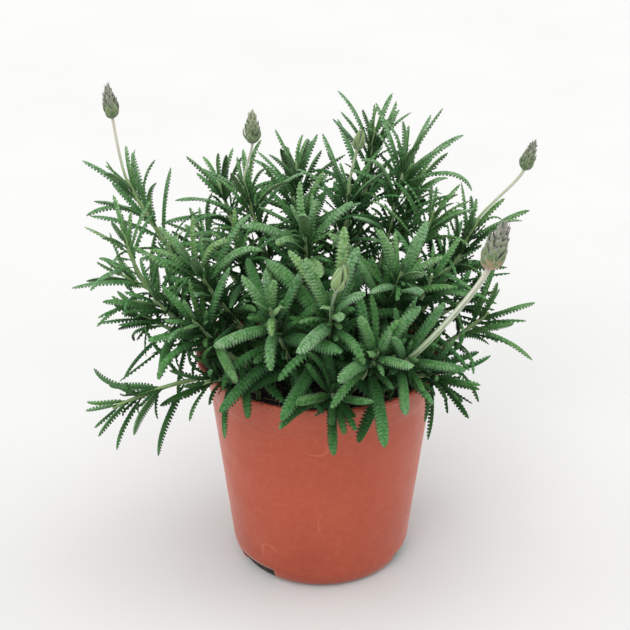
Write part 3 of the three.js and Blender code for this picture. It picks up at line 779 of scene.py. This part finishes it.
def leaf_rows(leaf, teeth_kind):
    """Shares of a leaf's length at which its rows stand, how far out on a tooth each is, and
    the pitch of its teeth."""
    tooth_rows, pitch = teeth_kind
    span = TOOTH_END - TOOTH_START
    teeth = max(3, round(leaf["length"] * span / pitch))
    rows = list(FOOT_ROWS)
    for tooth in range(teeth):
        rows += [(TOOTH_START + span * (tooth + phase) / teeth, out) for phase, out in tooth_rows]
    shares, lobes = np.array([*rows, *TIP_ROWS]).T
    return shares, lobes[:, None], leaf["length"] * span / teeth


def fine_outline(s, start):
    """As outline, with a taper from start to the tip."""
    foot = lerp(0.25, 1, np.sin(np.minimum(s / 0.3, 1) * np.pi / 2))
    taper = (np.maximum(0, s - start) / (1 - start)) ** 2.3
    return foot * np.sqrt(np.maximum(0.012, 1 - taper))


def rib(size, half):
    """1 on the midrib, falling to 0 at half."""
    return np.maximum(0, 1 - size / half)


def add_leaf(mesh, leaf, draw, others):
    """A toothed blade with its margins rolled down, puckered between its side veins."""
    marks = np.linspace(0, 1, 5)
    shades = shade_at(spine(leaf, marks, LEAF_LAG)[0], others)
    deep = leaf["small"] and shades[1:].mean() > DEEP
    shares, lobe, pitch = leaf_rows(leaf, DEEP_TEETH if deep else TEETH)
    places, heading, across, up = spine(leaf, shares, LEAF_LAG)
    shade = np.interp(shares, marks, shades)[:, None]
    upper = DEEP_TOP if deep else SMALL_TOP if leaf["small"] else TOP
    v, over, size = section(upper, DEEP_UNDER if deep else UNDER)
    broad = leaf["width"] > BROAD_FROM
    widths = fine_outline(shares, TAPER_STARTS[broad])[:, None]
    half = leaf["half"] * leaf["width"] * widths
    x = v * half * (1 - TOOTH_DEPTHS[broad] * (1 - lobe) * size ** 3)
    dome = leaf["dome"] * (1 - size ** 2)
    swell = np.sin(np.pi * np.minimum(size * 1.05, 1)) * leaf["pucker"]
    pucker = PUCKER_HEIGHT * (lobe - 0.55) * swell
    groove = GROOVE_DEPTH * rib(size, GROOVE_HALF)
    curl = leaf["curl"] * size ** CURL_POWER
    upper_side = dome + pucker - groove - curl * (0.3 + 0.7 * lobe)
    keel = BLADE_THICKNESS + GROOVE_DEPTH * rib(size, KEEL_HALF)
    z = half * np.where(over > 0, upper_side, dome * 0.35 - keel - curl * 0.4)
    slant = TOOTH_SLANT * pitch * size * np.minimum(1, widths * 1.2)
    mesh.tube(
        places[:, None, :] + offset(across, x) + offset(up, z) + offset(heading, slant),
        age=np.clip(leaf["age"] + (draw() - 0.5) * 0.25, 0, 1),
        tone=draw(),
        edge=np.where(over > 0, size, size * 0.9),
        under=1 - over,
        pucker=lobe,
        # How much foliage hides the sky here, kept for the painted shade of the leaf's colour
        shade=shade,
        # How openly the blade faces the sky out of the shade, for the painted sky sheen of its down
        sky=np.clip(up[:, 2:] * 0.7 + 0.3, 0, 1) * (1 - shade),
    )


def add_stem(mesh, stem, others):
    """The square, downy stem, with its swollen nodes, and the stalk of its flower."""
    rows = [(stem.foot, STEM_RADIUS, 0.0, 0.0)]
    count = max(12, int(stem.length / STEM_ROW))
    for t in np.arange(count + 1) / count:
        swell = sum(math.exp(-(((t - n) * stem.length / NODE_SWELL_REACH) ** 2))
                    for n in stem.nodes)
        radius = stem.radius(t) * (STEM_FULLNESS + NODE_SWELL * min(swell, 1))
        rows.append((stem.point(t), radius, 0.0, 0.0))
    if stem.flower:
        rows += stalk_rows(stem)
    else:
        along = stem.tangent(1.0)
        rows += [(stem.tip + along * reach, radius, 0.0, 0.0) for reach, radius in STEM_BUD]
    line, radii, greys, blushes = (np.array(column) for column in zip(*rows))
    looks = {"grey": greys, "blush": blushes, "shade": shade_at(line, others)}
    add_rod(mesh, line, radii, stem, looks)


def stalk_rows(stem):
    """Points of a flower's stalk, with its radius, whitish down and pinkish blush at each."""
    top, _, _, grey, purple = stem.flower
    front = stem.name == "front_flower"
    thinning = FRONT_STALK_THINNING if front else STALK_THINNING
    delay = FRONT_BLUSH_DELAY if front else BLUSH_DELAY
    steps = max(10, int(np.linalg.norm(np.array(top) - stem.tip) / 2))
    rows = []
    for i in range(1, steps + 1):
        t = i / steps
        radius = float(stem.stalk_radius(t)) * lerp(*thinning, t)
        rows.append((stem.stalk(t), radius, grey * min(1, 0.1 + 1.8 * t), purple * t ** delay))
    return rows


def add_rod(mesh, points, radii, stem, looks):
    """A four-ridged rod along a line of points, with values given at each of them."""
    tangents = unit(np.gradient(points, axis=0))
    side = stem.across
    angles = turns(STEM_SIDES) - math.radians(stem.turn + 45)
    ridge = RIDGE_MEAN + RIDGE_DEPTH * np.cos(4 * angles)
    rings = []
    for point, along, radius in zip(points, tangents, radii):
        side = unit(side - along * np.dot(side, along))
        rings.append(ring_round(point, along, side, radius * ridge, STEM_SIDES))
    lowest = RIDGE_MEAN - RIDGE_DEPTH
    mesh.tube(
        rings,
        look=1,
        **{name: values[:, None] for name, values in looks.items()},
        ridge=(ridge - lowest) / (1 - lowest),
        rise=np.linspace(0, 1, len(points))[:, None],
    )


class Head:
    """The core of a flower head, on which its bracts and calyces stand."""

    def __init__(self, stem):
        foot, top, radius, _, self.purple = stem.flower
        self.is_bud = stem.name in BUDS
        self.foot = np.array(foot, float)
        reach = np.array(top, float) - self.foot
        self.axis = unit(reach)
        self.side = unit(np.cross(BACK, self.axis))
        self.height = float(np.linalg.norm(reach)) * HEAD_HEIGHT_SHARE
        self.radius = radius * (BUD_NARROWING if self.is_bud else HEAD_NARROWING)
        self.draw = draws_from(HEAD_SEED + stem.index)

    def at(self, share):
        """The point so far up the head's axis."""
        return self.foot + self.axis * self.height * share

    def out(self, turn):
        return self.side * math.cos(turn) + np.cross(self.axis, self.side) * math.sin(turn)

    def seat(self, start, out, share):
        """Where something stands that starts so far up, at a share of the core's radius."""
        return self.at(start) + out * np.interp(start, *CORE.T) * self.radius * share


def head_mesh(stem):
    """A flower head: a core with tiers of cupped bracts and small calyces among them."""
    head = Head(stem)
    mesh = Mesh("tone", "tip", "edge", "tier", "purple")
    rings = [ring_round(head.at(share), head.axis, head.side, head.radius * radius, CORE_SIDES)
             for share, radius in CORE]
    mesh.tube(rings, tone=0.3, tip=0.2, edge=0.5, tier=CORE[:, :1], purple=head.purple)
    for number, tier in enumerate(BUD_TIERS if head.is_bud else TIERS):
        for k in range(tier[1]):
            add_bract(mesh, head, k + 0.5 * (number % 2), tier)
    if not head.is_bud:
        add_calyces(mesh, head)
    return mesh


def add_bract(mesh, head, place, tier):
    """A pointed, cupped bract of a tier, whose outer side faces away from the head."""
    start, count, angle, arch, length, half, point, turned = tier
    draw = head.draw
    out = head.out(place * 2 * np.pi / count + (draw() - 0.5) * 0.5)
    bract = {
        "foot": head.seat(start, out, 0.9),
        "along": head.axis,
        "out": out,
        "angle": math.radians(angle + (draw() - 0.5) * 14),
        "arch": math.radians(arch),
        "droop": 0.0,
        "twist": math.radians((draw() - 0.5) * 20),
        "hook": 0.0,
        "sway": 0.0,
        "length": head.height * length * (0.88 + draw() * 0.24),
    }
    shares = BRACT_SHARES
    places, _, across, up = spine(bract, shares)
    v, over, size = section(BRACT_OUTER, BRACT_INNER)
    opening = lerp(0.62, 1, np.sin(shares / BRACT_WIDEST * np.pi / 2))
    closing = 1 - (np.maximum(0, shares - BRACT_WIDEST) / (1 - BRACT_WIDEST)) ** point
    width = np.where(shares < BRACT_WIDEST, opening, np.maximum(0.04, closing))
    half = (head.radius * half * width)[:, None]
    vein = 0.05 * np.cos(size * 3 * np.pi * 2) * over
    z = half * (np.where(over > 0, 0.1, -0.06) - BRACT_CUP * size ** 2 + vein)
    rings = places[:, None, :] - offset(across, v * half) - offset(up, z)
    mesh.tube(rings, tone=draw(), tip=shares[:, None], edge=size, tier=turned, purple=head.purple)


def add_calyces(mesh, head):
    """Small downy calyces that show between the bracts."""
    draw = head.draw
    lengths = np.array(CALYX_PROFILE)[:, :1]
    for start in CALYX_STARTS:
        for k in range(CALYCES):
            out = head.out((k + draw()) * 2 * np.pi / CALYCES)
            base = head.seat(start, out, 0.85)
            way = unit(head.axis + out * (0.75 - start * 0.5))
            side = unit(np.cross(way, head.axis + out * 0.01 + 1e-6))
            length = head.height * 0.13 * (0.8 + 0.4 * draw())
            wide = head.radius * 0.15
            rings = [ring_round(base + way * length * share, way, side, wide * width, CALYX_SIDES)
                     for share, width in CALYX_PROFILE]
            mesh.tube(rings, tone=draw(), tip=lengths, edge=0.6, tier=0.4 + start * 0.6,
                      purple=head.purple)


def between(a, b, t):
    return (lerp(a[0], b[0], t), lerp(a[1], b[1], t))


def along_line(a, b, count):
    """Points evenly along a line, without its first."""
    return [between(a, b, i / count) for i in range(1, count + 1)]


def along_curve(corners, start, end, count):
    """Points of a curve between two shares of it, without the first."""
    a, b, c = corners
    shares = [lerp(start, end, i / count) for i in range(1, count + 1)]
    return [between(between(a, b, t), between(b, c, t), t) for t in shares]


def slot_share():
    """The share of the heel's curve at which it reaches the top of a slot."""
    a = HEEL[2][1] - 2 * HEEL[1][1] + HEEL[0][1]
    b = 2 * (HEEL[1][1] - HEEL[0][1])
    return (-b + math.sqrt(b * b + 4 * a * SLOT_TOP)) / (2 * a)


def pot_outside():
    top = slot_share()
    points = [*UNDERSIDE, (SLOT_INNER_RADIUS, 0.0), (GROUND_RADIUS, 0.0), HEEL[0]]
    points += along_curve(HEEL, 0, top, SLOT_HEEL_ROWS)
    points += along_curve(HEEL, top, 1, 3)
    points += along_line(HEEL[2], between(HEEL[2], BAND_FOOT, WALL_SHARE), 12)
    points += BAND_STEP
    points += along_line(BAND_STEP[-1], BAND_TOP, 6)
    return [*points, *LIP]


def pot_inside():
    points = [(radius, FLOOR) for radius in FLOOR_RADII]
    points += along_curve(INNER_HEEL, 0, INNER_SLOT_SHARE, SLOT_HEEL_ROWS)
    points += along_curve(INNER_HEEL, INNER_SLOT_SHARE, 1, 3)
    points += along_line(INNER_HEEL[2], INNER_WALL_TOP, 8)
    points += along_line(*INNER_BAND, 5)
    return [*points, *INNER_LIP]


def in_slot(degrees, half):
    return any(abs((degrees - m + 180) % 360 - 180) < half for m in SLOT_MIDDLES)


def open_column(k):
    """True where column k of the pot's faces lies in a slot."""
    return in_slot((k % POT_SEGMENTS + 0.5) * 360 / POT_SEGMENTS, SLOT_HALF)


def pot_mesh():
    """The moulded pot, with its slots left open through the heel."""
    outside, inside = pot_outside(), pot_inside()
    rings = [level_ring(r, z)[:POT_SEGMENTS if r > 0 else 1] for r, z in outside + inside]
    starts = np.cumsum([0] + [len(ring) for ring in rings])
    count = len(outside)
    last = len(rings) - 1
    faces = []

    def corner(row, k):
        return int(starts[row] + k % len(rings[row]))

    def add_face(corners, flip):
        face = list(dict.fromkeys(corner(row, k) for row, k in corners))
        faces.append(face[::-1] if flip else face)

    def add_cell(low, high, k, flip=False):
        """The face of column k between two rows."""
        add_face([(low, k), (low, k + 1), (high, k + 1), (high, k)], flip)

    for k in range(POT_SEGMENTS):
        is_open = open_column(k)
        for first, end, flip in ((0, count - 1, False), (count, last, True)):
            for row in range(first, end):
                if not (is_open and SLOT_FIRST <= row - first < SLOT_LAST):
                    add_cell(row, row + 1, k, flip)
        add_cell(count - 1, last, k)
        if not is_open:
            continue
        add_cell(SLOT_FIRST, count + SLOT_FIRST, k)
        add_cell(SLOT_LAST, count + SLOT_LAST, k, True)
        for edge, beyond, flip in ((k, k - 1, False), (k + 1, k + 1, True)):
            if not open_column(beyond):
                for i in range(SLOT_FIRST, SLOT_LAST):
                    rows = (i, count + i, count + i + 1, i + 1)
                    add_face([(row, edge) for row in rows], flip)
    points = np.vstack(rings)
    is_inside = np.arange(len(points)) >= starts[count]
    mesh = Mesh("rise", "inside")
    mesh.add(points, faces, rise=points[:, 2] / POT_HEIGHT, inside=is_inside.astype(float))
    return mesh


def soil_height(x, y):
    """The height of the mix: the lumps of its solid, with a crumbled surface."""
    share = min(1, math.hypot(x, y) / BAND_FOOT[0])
    lumps = math.sin(x * 0.31 + 1.7) * math.cos(y * 0.27) + math.sin(x * 0.13 - y * 0.41)
    rise = SOIL_MOUND * (1 - share * share) + SOIL_ROUGHNESS * lumps * (1 - share)
    spot = Vector((x * SOIL_GRAIN_PITCH, y * SOIL_GRAIN_PITCH, 3.1))
    return SOIL_AT_WALL + rise + SOIL_GRAIN * noise.fractal(spot, 0.7, 2.1, 4)


def soil_spot(draw, share):
    """A point on the mix within a share of its radius."""
    r = SOIL_RADIUS * share * math.sqrt(draw())
    a = draw() * 2 * np.pi
    return r * math.cos(a), r * math.sin(a)


def soil_mesh():
    """The mix: a crumbled top over a body that fills the pot, with loose crumbs on it."""
    mesh = Mesh("pale")
    plugged = np.array([in_slot(math.degrees(a), SLOT_HALF - 1) for a in turns(POT_SEGMENTS)])
    rings = [level_ring(np.where(plugged, plug_r, r), np.where(plugged, plug_z, z))
             for r, z, plug_r, plug_z in SOIL_PROFILE]
    for i in range(SOIL_RINGS):
        ring = level_ring(SOIL_RADIUS * (1 - i / SOIL_RINGS), 0)
        ring[:, 2] = [soil_height(x, y) for x, y, _ in ring]
        rings.append(ring)
    mesh.tube(rings, pale=0.0)
    draw = draws_from(CRUMB_SEED)
    for _ in range(CRUMBS):
        x, y = soil_spot(draw, 0.97)
        size = 0.5 + 1.5 * draw() ** 2
        add_crumb(mesh, np.array([x, y, soil_height(x, y) + size * 0.3]), size, draw)
    return mesh


def add_crumb(mesh, place, size, draw):
    """A small angular lump."""
    rings = []
    for height, wide in CRUMB_RINGS:
        radii = size * wide * np.array([0.7 + 0.5 * draw() for _ in range(6)])
        rings.append(ring_round(place + UP * height * size, UP, RIGHT, radii, 6))
    mesh.tube(rings, pale=draw() ** 3)


def root_line(draw):
    """The line of a fibre that wanders over the mix from a random spot."""
    x, y = soil_spot(draw, 0.9)
    way = draw() * 2 * np.pi
    bend = (draw() - 0.5) * 0.5
    line = []
    for _ in range(12 + int(draw() * 10)):
        if math.hypot(x, y) > SOIL_RADIUS - 1:
            break
        line.append([x, y, soil_height(x, y) + ROOT_LIFT])
        x += ROOT_STEP * math.cos(way)
        y += ROOT_STEP * math.sin(way)
        way += bend + (draw() - 0.5) * 0.6
    return np.array(line)


def root_mesh():
    """Pale root fibres that lie on the mix."""
    mesh = Mesh("grey")
    draw = draws_from(ROOT_SEED)
    for _ in range(ROOTS):
        line = root_line(draw)
        if len(line) < 4:
            continue
        radius = 0.16 + 0.14 * draw()
        rings = [ring_round(point, along, unit(np.cross(along, UP)), radius, 5)
                 for point, along in zip(line, unit(np.gradient(line, axis=0)))]
        mesh.tube(rings, grey=draw())
    return mesh


def colour(red, green, blue):
    """A linear colour from its usual 0 to 255 values, with full cover."""
    def straight(value):
        value /= 255
        return value / 12.92 if value <= 0.04045 else ((value + 0.055) / 1.055) ** 2.4
    return (straight(red), straight(green), straight(blue), 1)


class Shader:
    """A node material round one Principled shader, whose colour is a base with tones laid
    over it. Tones are given as 0 to 255."""

    def __init__(self, name, sheen_tint=(255, 255, 255), **settings):
        self.material = bpy.data.materials.new(name)
        self.material.use_nodes = True
        self.tree = self.material.node_tree
        self.tree.nodes.clear()
        self.principled = self.tree.nodes.new("ShaderNodeBsdfPrincipled")
        self.node("OutputMaterial", {"Surface": self.principled.outputs["BSDF"]})
        self.set(Sheen_Tint=colour(*sheen_tint), **settings)
        self.base = None

    def put(self, socket, value):
        if isinstance(value, bpy.types.NodeSocket):
            self.tree.links.new(value, socket)
        else:
            socket.default_value = value

    def set(self, **values):
        for socket, value in values.items():
            self.put(self.principled.inputs[socket.replace("_", " ")], value)

    def finish(self, **values):
        self.set(Base_Color=self.base, **values)
        return self.material

    def node(self, kind, inputs, **settings):
        """The outputs of a new node, whose inputs are given by name or number."""
        node = self.tree.nodes.new(f"ShaderNode{kind}")
        for name, value in settings.items():
            setattr(node, name, value)
        for socket, value in inputs.items():
            self.put(node.inputs[socket], value)
        return node.outputs

    def attributes(self, *names):
        """The sockets of values that the mesh stores at its points."""
        return [self.node("Attribute", {}, attribute_name=name)["Fac"] for name in names]

    def noise(self, scale, detail=3, roughness=0.55, stretch=(1, 1, 1)):
        place = self.node("TexCoord", {})["Object"]
        place = self.node("Mapping", {"Vector": place, "Scale": stretch})["Vector"]
        inputs = {"Vector": place, "Scale": scale, "Detail": detail, "Roughness": roughness}
        return self.node("TexNoise", inputs)["Fac"]

    def span(self, value, low, high, to_low=0.0, to_high=1.0):
        """A value eased from low to high, and given as to_low to to_high."""
        inputs = {"Value": value, "From Min": low, "From Max": high,
                  "To Min": to_low, "To Max": to_high}
        return self.node("MapRange", inputs, interpolation_type="SMOOTHSTEP")["Result"]

    def math(self, operation, a, b):
        return self.node("Math", {0: a, 1: b}, operation=operation)[0]

    def times(self, a, b):
        return self.math("MULTIPLY", a, b)

    def mix(self, share, a, b):
        """Two colours or sockets mixed, with a share of the second."""
        a, b = (tone if isinstance(tone, bpy.types.NodeSocket) else colour(*tone)
                for tone in (a, b))
        return self.node("Mix", {0: share, 6: a, 7: b}, data_type="RGBA")[2]

    def lay(self, share, tone):
        """Lays a share of a tone over the base."""
        self.base = self.mix(share, self.base, tone)

    def tint(self, cover, share, tone):
        """Lays a tone over the base where cover is 1, at most by a share."""
        self.lay(self.times(cover, share), tone)

    def bump(self, height, distance, strength):
        inputs = {"Height": height, "Distance": distance, "Strength": strength}
        return self.node("Bump", inputs)["Normal"]


def leaf_material():
    """Downy grey-green leaves: brighter when young, paler below, with pale hairs on margins.
    Painted shade darkens their furrows and where foliage hides the sky; a painted sky sheen
    lightens their down where they face it.
    """
    s = Shader("lavender_leaf", (205, 225, 205), Sheen_Weight=0.05, Sheen_Roughness=0.4,
               Roughness=0.72, Specular_IOR_Level=0.05)
    young, grown, old = (88, 128, 72), (74, 117, 66), (52, 98, 50)
    bluish, yellowish, underside = (90, 122, 92), (108, 134, 66), (118, 145, 100)
    painted_shade, painted_deep_shade = (28, 88, 28), (4, 36, 6)
    age, tone, edge, under = s.attributes("age", "tone", "edge", "under")
    pucker, shade, sky = s.attributes("pucker", "shade", "sky")
    s.base = s.mix(s.span(age, 0.0, 0.6), young, grown)
    dark = s.mix(s.span(age, 0.3, 1.0), s.base, old)
    s.tint(s.span(s.noise(160, 4), 0.3, 0.7), 0.55, dark)
    s.lay(s.span(tone, 0.4, 0.0, 0.0, 0.4), bluish)
    s.lay(s.span(tone, 0.6, 1.0, 0.0, 0.45), yellowish)
    s.tint(under, 0.65, underside)
    # Darker in the furrows between the puckers: a painted shade
    furrow = s.times(s.span(pucker, 0.7, 0.0), s.span(edge, 1.0, 0.5))
    s.tint(furrow, 0.55, (26, 64, 32))
    crest = s.times(s.span(pucker, 0.6, 1.0), s.span(edge, 0.15, 0.5))
    s.tint(crest, 0.2, (134, 156, 128))
    midrib, margin = s.span(edge, 0.22, 0.0), s.span(edge, 0.85, 1.0)
    s.tint(midrib, 0.35, (44, 78, 44))
    s.tint(margin, 0.34, (146, 166, 144))
    # Pale down, laid on more strongly where a leaf faces open sky out of the shade: the down is its
    # own, the extra on those parts a painted sky sheen
    down = s.span(s.noise(760, 2, 0.5), 0.44, 0.6)
    s.tint(down, s.span(sky, 0.1, 0.8, 0.2, 0.38), (150, 164, 148))
    pits = s.span(s.noise(480, 2, 0.5), 0.48, 0.36)
    s.tint(pits, 0.55, (32, 76, 36))
    # Painted shade where foliage hides the sky, deepest in the thick of the plant
    s.lay(s.span(shade, 0.45, 0.9, 0, 0.45), painted_shade)
    s.lay(s.span(shade, 0.82, 1.0, 0, 0.8), painted_deep_shade)
    rough = s.span(s.noise(1500), 0.3, 0.7, 0.66, 0.82)
    return s.finish(Roughness=rough, Normal=s.bump(s.noise(900), 0.0004, 0.5))


def stem_material():
    """Green ridged stems; a stalk turns whitish with down and then pinkish.
    Painted shade darkens them where foliage hides the sky.
    """
    s = Shader("lavender_stem", (225, 230, 215), Sheen_Weight=0.2, Sheen_Roughness=0.5,
               Roughness=0.75, Specular_IOR_Level=0.3)
    low_green, high_green = (118, 144, 80), (142, 172, 106)
    whitish, pinkish = (174, 178, 164), (190, 176, 166)
    grey, ridge, rise, shade, blush = s.attributes("grey", "ridge", "rise", "shade", "blush")
    green = s.mix(s.span(rise, 0.0, 0.4), low_green, high_green)
    s.base = s.mix(grey, green, s.mix(blush, whitish, pinkish))
    valley = s.span(ridge, 0.75, 0.15)
    s.tint(valley, s.span(blush, 0, 0.8, 0.75, 0.2), (88, 116, 68))
    streak = s.span(s.noise(700, stretch=(1, 1, 0.15)), 0.4, 0.7)
    s.tint(streak, 0.3, (186, 198, 178))
    # Painted shade where foliage hides the stem from the sky
    s.lay(s.span(shade, 0.55, 1.0, 0, 0.35), (24, 58, 16))
    return s.finish(Normal=s.bump(s.noise(1600), 0.0003, 0.6))


def head_material():
    """Bracts from green at the foot of a head to grey purple at its top, downy all over."""
    s = Shader("lavender_bract", (228, 224, 232), Sheen_Weight=0.3, Sheen_Roughness=0.5,
               Roughness=0.8, Specular_IOR_Level=0.25)
    tier, tip, edge, purple, tone = s.attributes("tier", "tip", "edge", "purple", "tone")
    s.base = s.mix(tone, (66, 92, 46), (94, 114, 68))
    s.lay(s.span(purple, 0.2, 0.0), (112, 138, 82))
    woolly = s.times(s.span(tip, 0.4, 0.0), s.span(purple, 0.2, 0.1))
    s.tint(woolly, 0.7, (168, 180, 156))
    spot = s.times(s.span(tip, 0.7, 0.25), s.span(tier, 0.3, 0.1))
    s.tint(spot, s.span(purple, 0.76, 0.8, 0.0, 0.8), (172, 132, 108))
    grey = s.mix(tone, (108, 112, 98), (144, 142, 134))
    grey = s.mix(s.span(purple, 0.6, 0.4), grey, (172, 176, 152))
    height = s.span(s.math("ADD", tier, s.times(tip, 0.3)), 0.4, 1.25)
    s.tint(height, s.span(purple, 0.0, 0.8), grey)
    tips = s.times(s.span(tip, 0.6, 1.0), purple)
    s.tint(tips, 0.5, (120, 100, 110))
    margin = s.span(edge, 0.75, 1.0)
    s.tint(margin, 0.4, (172, 176, 158))
    foot = s.span(tip, 0.3, 0.0)
    s.tint(foot, s.span(tier, 0.2, 0.6, 0.0, 0.35), (66, 78, 54))
    down = s.span(s.noise(2200, 2), 0.5, 0.68)
    s.tint(down, 0.3, (184, 188, 174))
    return s.finish(Normal=s.bump(s.noise(1500), 0.0003, 0.7))


def pot_material():
    """Moulded terracotta-coloured plastic with faint mottling, scuffs and fine scratches,
    darkened by painted shade towards its foot and inside.
    """
    s = Shader("pot_plastic", (255, 226, 216), Sheen_Weight=0.24, Sheen_Roughness=0.3,
               Roughness=0.42, Specular_IOR_Level=0.4)
    rise, inside = s.attributes("rise", "inside")
    # Darker towards the foot: a painted shade
    s.base = s.mix(s.span(rise, 0.0, 0.5), (138, 54, 32), (151, 63, 38))
    mottle = s.span(s.noise(28, 4), 0.35, 0.7)
    s.tint(mottle, 0.3, (164, 76, 50))
    fine = s.span(s.noise(260), 0.4, 0.7)
    s.tint(fine, 0.1, (186, 104, 82))
    scratch = s.span(s.noise(420, 2, 0.4, (1, 1, 0.05)), 0.7, 0.76)
    ring = s.span(s.noise(420, 2, 0.4, (0.06, 0.06, 1)), 0.7, 0.78)
    marks = s.times(s.math("MAXIMUM", scratch, ring), 0.1)
    s.lay(marks, (200, 126, 104))
    winding = s.math("ABSOLUTE", s.math("SUBTRACT", s.noise(16, 1, 0.3), 0.5), 0)
    curve = s.times(s.span(winding, 0.004, 0.0015), s.span(s.noise(34, 2), 0.5, 0.62))
    s.tint(curve, 0.16, (206, 134, 110))
    dirt = s.times(s.span(rise, 0.955, 0.995), s.span(s.noise(620, 4, 0.7), 0.52, 0.62))
    s.tint(dirt, 0.7, (70, 40, 28))
    specks = s.span(s.noise(900, 2), 0.7, 0.78)
    s.tint(specks, 0.4, (220, 164, 142))
    # The inside of the pot darkened: a painted shade
    s.tint(inside, 0.6, (120, 40, 30))
    rough = s.math("ADD", s.span(s.noise(60, 4), 0.3, 0.7, 0.36, 0.5), s.times(marks, 0.3))
    height = s.math("ADD", s.times(s.noise(420), 0.5), s.times(marks, -0.6))
    return s.finish(Roughness=rough, Normal=s.bump(height, 0.00012, 0.5))


def soil_material():
    """Dark, damp peat with browner crumbs."""
    s = Shader("potting_mix", Roughness=0.92)
    s.base = s.mix(s.span(s.noise(400, 5, 0.65), 0.35, 0.7), (18, 14, 11), (52, 41, 31))
    s.tint(*s.attributes("pale"), 0.7, (110, 84, 58))
    return s.finish(Normal=s.bump(s.noise(900, 4), 0.0008, 0.9))


def root_material():
    """Pale, dry root fibres."""
    s = Shader("root_fibre", Roughness=0.8)
    s.base = s.mix(*s.attributes("grey"), (116, 92, 66), (176, 156, 120))
    return s.finish(Normal=s.bump(s.noise(2000, 2), 0.0002, 0.5))


def floor_material():
    s = Shader("pale_floor", Roughness=0.7)
    s.base = s.mix(s.span(s.noise(6, 2), 0.3, 0.7), (181, 181, 180), (183, 183, 182))
    return s.finish()


def add_floor():
    mesh = bpy.data.meshes.new("floor")
    signs = ((-1, -1), (1, -1), (1, 1), (-1, 1))
    corners = [(x * GROUND_HALF, y * GROUND_HALF, 0) for x, y in signs]
    mesh.from_pydata(corners, [], [(0, 1, 2, 3)])
    mesh.materials.append(floor_material())
    show("floor", mesh)


def aim(thing, place, target):
    """Puts a lamp or the camera in its place and turns it to a target."""
    thing.location = place
    way = Vector(target) - thing.location
    thing.rotation_euler = way.to_track_quat("-Z", "Y").to_euler()


def add_lights():
    """Soft, even light from each side, spread over so many degrees of the sky."""
    for name, place, spread, strength in LIGHTS:
        light = bpy.data.lights.new(name, "SUN")
        light.angle = math.radians(spread)
        light.energy = strength
        aim(show(name, light), place, LIT_POINT)


def add_camera():
    camera = bpy.data.cameras.new("camera")
    camera.sensor_width = SENSOR_WIDTH
    camera.lens = CAMERA_LENS
    view = show("camera", camera)
    aim(view, CAMERA_PLACE, CAMERA_TARGET)
    bpy.context.scene.camera = view


def add_world():
    world = bpy.data.worlds.new("studio")
    world.use_nodes = True
    back = world.node_tree.nodes["Background"]
    back.inputs["Color"].default_value = (1, 1, 1, 1)
    back.inputs["Strength"].default_value = SKY_STRENGTH
    bpy.context.scene.world = world
    bpy.context.scene.view_settings.view_transform = "Standard"


def leaf_look(leaf, draw, width):
    """Gives a leaf what only its fine blade shows: its relief, width, sway and hook."""
    leaf["dome"] = 0.25 + 0.2 * draw()
    leaf["curl"] = 0.4 + 0.5 * draw()
    leaf["pucker"] = 0.7 + 0.6 * draw()
    leaf["width"] = width * (0.88 + 0.24 * draw())
    if not leaf["small"]:
        leaf["sway"] = (draw() - 0.5) * 0.4
        leaf["hook"] = math.radians(90) * draw() ** 3


def build():
    stems = [Stem(i) for i in range(len(SHOOTS))]
    others = grow(stems)
    green_looks, bract_look = (leaf_material(), stem_material()), head_material()
    for stem in stems:
        draw = draws_from(LOOK_SEED + stem.index)
        blades = Mesh("age", "tone", "edge", "under", "pucker", "shade", "sky", "grey", "blush",
                      "ridge", "rise")
        for leaf in stem.leaves:
            leaf_look(leaf, draw, stem.leaf_width)
            add_leaf(blades, leaf, draw, others)
        add_stem(blades, stem, others)
        blades.piece(f"sprig_{stem.name}", green_looks, "foliage", f"shoot_{stem.name}")
        if stem.flower:
            name = f"bracts_{stem.name}"
            head_mesh(stem).piece(name, (bract_look,), "flower", f"head_{stem.name}")
    pot_mesh().piece("moulded_pot", (pot_material(),), "pot", "pot")
    soil_mesh().piece("crumbled_mix", (soil_material(),), "soil", "soil")
    root_mesh().piece("root_fibres", (root_material(),), "soil")


build()
add_floor()
add_lights()
add_camera()
add_world()
